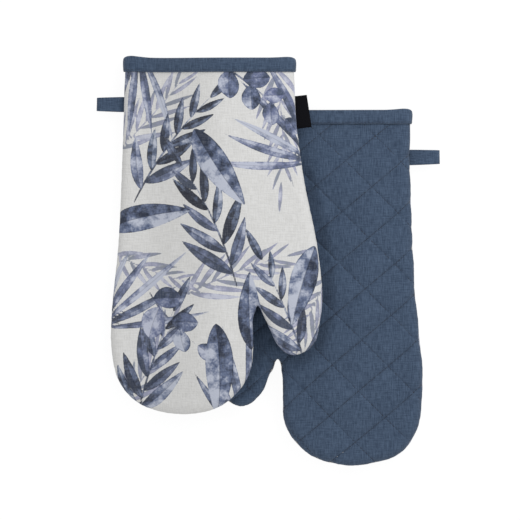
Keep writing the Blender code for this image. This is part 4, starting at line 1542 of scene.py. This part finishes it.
# %% [markdown]
# Hanging loop and side label
#
# Both are folded tapes caught in the side seam. The loop is a chambray strip, a little
# narrower at its fold than at its root. The label is a bare ribbon of woven black polyester:
# dark and even, with a dull gleam on its fine ribs, which are 0.9 mm apart.

# %% Black ribbon
RIB_PITCH = 0.9
FIBRE_WIDTH, FIBRE_RUN = 0.4, 3.0


def woven_ribbon():
    """A black ribbon with fine ribs along it."""
    material, tree, shader = new_material("black_woven_polyester_ribbon", roughness=0.7,
                                          sheen=0.0, specular=0.06)
    place = flat_map(tree)
    axes = add_node(tree, "SeparateXYZ", {0: place}).outputs
    turn = add_node(tree, "Math", {0: axes["X"], 1: 2 * math.pi / RIB_PITCH},
                    operation="MULTIPLY")
    ribs = add_node(tree, "Math", {0: turn}, operation="SINE")
    warp = streaks(tree, place, FIBRE_WIDTH, FIBRE_RUN)
    height = add_node(tree, "Math", {0: ribs, 1: 0.5, 2: warp},
                      operation="MULTIPLY_ADD")
    add_relief(tree, shader, height, 0.00008)
    colour_cloth(tree, shader, warp, "#08080B", "#131318")
    return material


RIBBON = woven_ribbon()
print("made", RIBBON.name)

# %% The way a tape leaves the seam
TUCK = 0.0012
TOP_STEPS, TURN_STEPS = 20, 20
RISE_RATE = 1.35


def seam_seat(below_cuff, width, clear, thumb_side):
    """Where a tape leaves the seam, this far clear of the edge, and the way out."""
    half = len(OUTLINE) // 2
    edge = OUTLINE[half:][::-1] if thumb_side else OUTLINE[:half]
    upper, lower = (Vector((float(np.interp(reach, -edge[:, 1], edge[:, 0])), -reach))
                    for reach in (below_cuff - width / 2, below_cuff + width / 2))
    out = Vector((upper.y - lower.y, lower.x - upper.x)).normalized()
    out = out if thumb_side else -out
    return upper.lerp(lower, 0.5) + out * clear, out


def fold_path(reach, half_gap, root_gap, thickness):
    """The side view of a folded tape as dense points: out on top, round, and back below."""
    root = -thickness - root_gap - TUCK
    middle = half_gap + thickness / 2
    start = HALF_SEAM + thickness / 2
    centre = reach - root_gap - 1.5 * thickness - middle
    top = []
    for step in range(TOP_STEPS):
        share = step / TOP_STEPS
        rise = math.sin(math.pi / 2 * min(share * RISE_RATE, 1.0))
        top.append((root + (centre - root) * share, start + (middle - start) * rise))
    turns = [math.pi / 2 - math.pi * step / TURN_STEPS for step in range(TURN_STEPS + 1)]
    fold = [(centre + middle * math.cos(turn), middle * math.sin(turn)) for turn in turns]
    return np.array(top + fold + [(out, -up) for out, up in reversed(top)])


# %% Folded tapes
TAPE_ACROSS = 12
EDGE_BOW = 0.10


def make_tape(glove, name, slot, node, material, path, widths, thickness, seat, out, skew, flare):
    """A folded tape that leaves the seam at its seat, and is a little skewed and uneven."""
    mesh = bmesh.new()
    flat = mesh.verts.layers.float_vector.new("flat_mm")
    reached = travelled_along(path)
    farthest = path[:, 0].max()
    side = Vector((-out.y, out.x))
    for vertex, column, row in add_grid(mesh, len(path) - 1, TAPE_ACROSS):
        across = 2.0 * row / TAPE_ACROSS - 1.0
        away, up = path[column]
        away *= 1.0 - flare * across
        width = widths[0] + (widths[1] - widths[0]) * max(away, 0.0) / farthest
        shift = across * width / 2 + skew * away
        spot = seat + out * away + side * shift
        vertex[flat] = (shift * MILLIMETRES, reached[column] * MILLIMETRES, 0.0)
        local = np.array(((spot.x, spot.y, up * (1.0 - EDGE_BOW * across ** 4)),))
        vertex.co = glove.to_world(local, np.array((seat.x,)))[0]
    bmesh.ops.recalc_face_normals(mesh, faces=mesh.faces[:])
    body = f"{glove.name}_{node.split('_')[-1]}"
    tape = new_piece(f"{glove.name}_{name}", mesh, material, body, slot, f"{glove.name}_{node}")
    thicken(tape, thickness, offset=0.0)
    print(f"{tape.name}: {reached[-1] * MILLIMETRES:.1f} mm long")


# %% Loops and labels
LOOP_WIDTH, LOOP_TAPE = 0.0135, 0.0010
LOOP_HALF_GAP, LOOP_ROOT_GAP = 0.0031, 0.0006
LOOP_BELOW_CUFF = {"front": 0.0430, "rear": 0.0445}
LOOP_WIDTHS = {"front": (0.0139, 0.0122), "rear": (0.0144, 0.0127)}
LOOP_REACHES = {"front": 0.0250, "rear": 0.0276}
LOOP_SKEW = 0.02
LABEL_REACH, LABEL_WIDTH, RIBBON_WIDTH = 0.0120, 0.0290, 0.0302
LABEL_RIBBON, LABEL_ROOT_GAP, LABEL_BELOW_CUFF = 0.0004, 0.0004, 0.0506
LABEL_SKEW, LABEL_FLARE = 0.05, 0.12

for glove in GLOVES:
    seat, out = seam_seat(LOOP_BELOW_CUFF[glove.name], LOOP_WIDTH, LOOP_ROOT_GAP + LOOP_TAPE,
                          thumb_side=False)
    path = fold_path(LOOP_REACHES[glove.name], LOOP_HALF_GAP, LOOP_ROOT_GAP, LOOP_TAPE)
    make_tape(glove, "loop_tape", "chambray", "hanging_loop", CHAMBRAY, path,
              LOOP_WIDTHS[glove.name], LOOP_TAPE, seat, out, LOOP_SKEW, flare=0.0)
    seat, out = seam_seat(LABEL_BELOW_CUFF, LABEL_WIDTH, LABEL_ROOT_GAP + LABEL_RIBBON,
                          thumb_side=True)
    path = fold_path(LABEL_REACH, HALF_SEAM, LABEL_ROOT_GAP, LABEL_RIBBON)
    make_tape(glove, "label_ribbon", "label_ribbon", "side_label", RIBBON, path,
              (RIBBON_WIDTH, RIBBON_WIDTH), LABEL_RIBBON, seat, out, LABEL_SKEW, LABEL_FLARE)

# %% [markdown]
# Light, camera and table
#
# The photo looks straight down through a long lens, so the camera stands nine metres up.
# A soft box at the top right and an even sky light the gloves at about the level at which a
# colour renders as it is written. The table is a matt white laminate, so it has no gleam, and
# it is lit a little by itself, so that it is white to the camera with a faint shadow.

# %% Camera
PIXELS = 520
MILLIMETRES_PER_PIXEL = 0.9257
PHOTO_CENTRE = (-0.00625, 0.0016)
CAMERA_HEIGHT = 9.0
SUBJECT_HEIGHT = 0.022
SENSOR = 36.0

camera_data = bpy.data.cameras.new("camera")
camera_data.sensor_width = SENSOR
view_width = PIXELS * MILLIMETRES_PER_PIXEL / MILLIMETRES
camera_data.lens = SENSOR * (CAMERA_HEIGHT - SUBJECT_HEIGHT) / view_width
camera = add_object("camera", camera_data)
camera.location = (*PHOTO_CENTRE, CAMERA_HEIGHT)
bpy.context.scene.camera = camera
print(f"lens {camera_data.lens:.0f} mm")

# %% Key light
KEY_PLACE = (0.63, 0.63, 0.80)
KEY_SIZE = 0.8
KEY_POWER = 4.4

key_data = bpy.data.lights.new("soft_box", "AREA")
key_data.size = KEY_SIZE
key_data.energy = KEY_POWER
key = add_object("soft_box", key_data)
key.location = KEY_PLACE
key.rotation_euler = Vector(KEY_PLACE).to_track_quat("Z", "Y").to_euler()
key.visible_camera = False
print("soft box", round(Vector(KEY_PLACE).length, 2), "m from the gloves")

# %% Sky
SKY_SHARE = 0.70
WHITE = (1.0, 1.0, 1.0, 1.0)


def seen_plainly(tree):
    """1 where the camera looks, straight or through a mirror or glass, and 0 for other light."""
    rays = add_node(tree, "LightPath").outputs
    seen = rays["Is Camera Ray"]
    for ray in ("Is Glossy Ray", "Is Transmission Ray"):
        seen = add_node(tree, "Math", {0: seen, 1: rays[ray]}, operation="MAXIMUM")
    return seen


world = bpy.data.worlds.new("studio")
world.use_nodes = True
bpy.context.scene.world = world
tree = world.node_tree
strength = add_node(tree, "Mix", data_type="FLOAT",
                    inputs={"Factor": seen_plainly(tree), "A": SKY_SHARE, "B": 1.0})
background = tree.nodes["Background"]
background.inputs["Color"].default_value = WHITE
tree.links.new(strength.outputs["Result"], background.inputs["Strength"])
print("sky at", SKY_SHARE, "of white")

# %% Table
TABLE_HALF = 3.0
TABLE_SHOWN = 0.93
TABLE_SHADED = (0.12, 0.12, 0.12, 1.0)
TABLE_PLAIN = (0.7, 0.7, 0.7, 1.0)

mesh = bmesh.new()
bmesh.ops.create_grid(mesh, x_segments=1, y_segments=1, size=TABLE_HALF)
table_top = add_mesh_object("table_top", mesh)
laminate = bpy.data.materials.new("matt_white_laminate")
laminate.use_nodes = True
table_top.data.materials.append(laminate)
tree = laminate.node_tree
tree.nodes.remove(tree.nodes["Principled BSDF"])
matt = add_node(tree, "BsdfDiffuse", {"Color": TABLE_SHADED})
plain = add_node(tree, "BsdfDiffuse", {"Color": TABLE_PLAIN})
glow = add_node(tree, "Emission", {"Color": WHITE, "Strength": TABLE_SHOWN})
white = add_node(tree, "AddShader", {0: matt, 1: glow})
shown = add_node(tree, "MixShader", {0: seen_plainly(tree), 1: plain, 2: white})
tree.links.new(shown.outputs[0], tree.nodes["Material Output"].inputs["Surface"])

# %% [markdown]
# Last checks
# Colour view
# The colour view stays Standard, so the colours above are the colours of the render.

# %% Colour view
bpy.context.scene.view_settings.view_transform = "Standard"
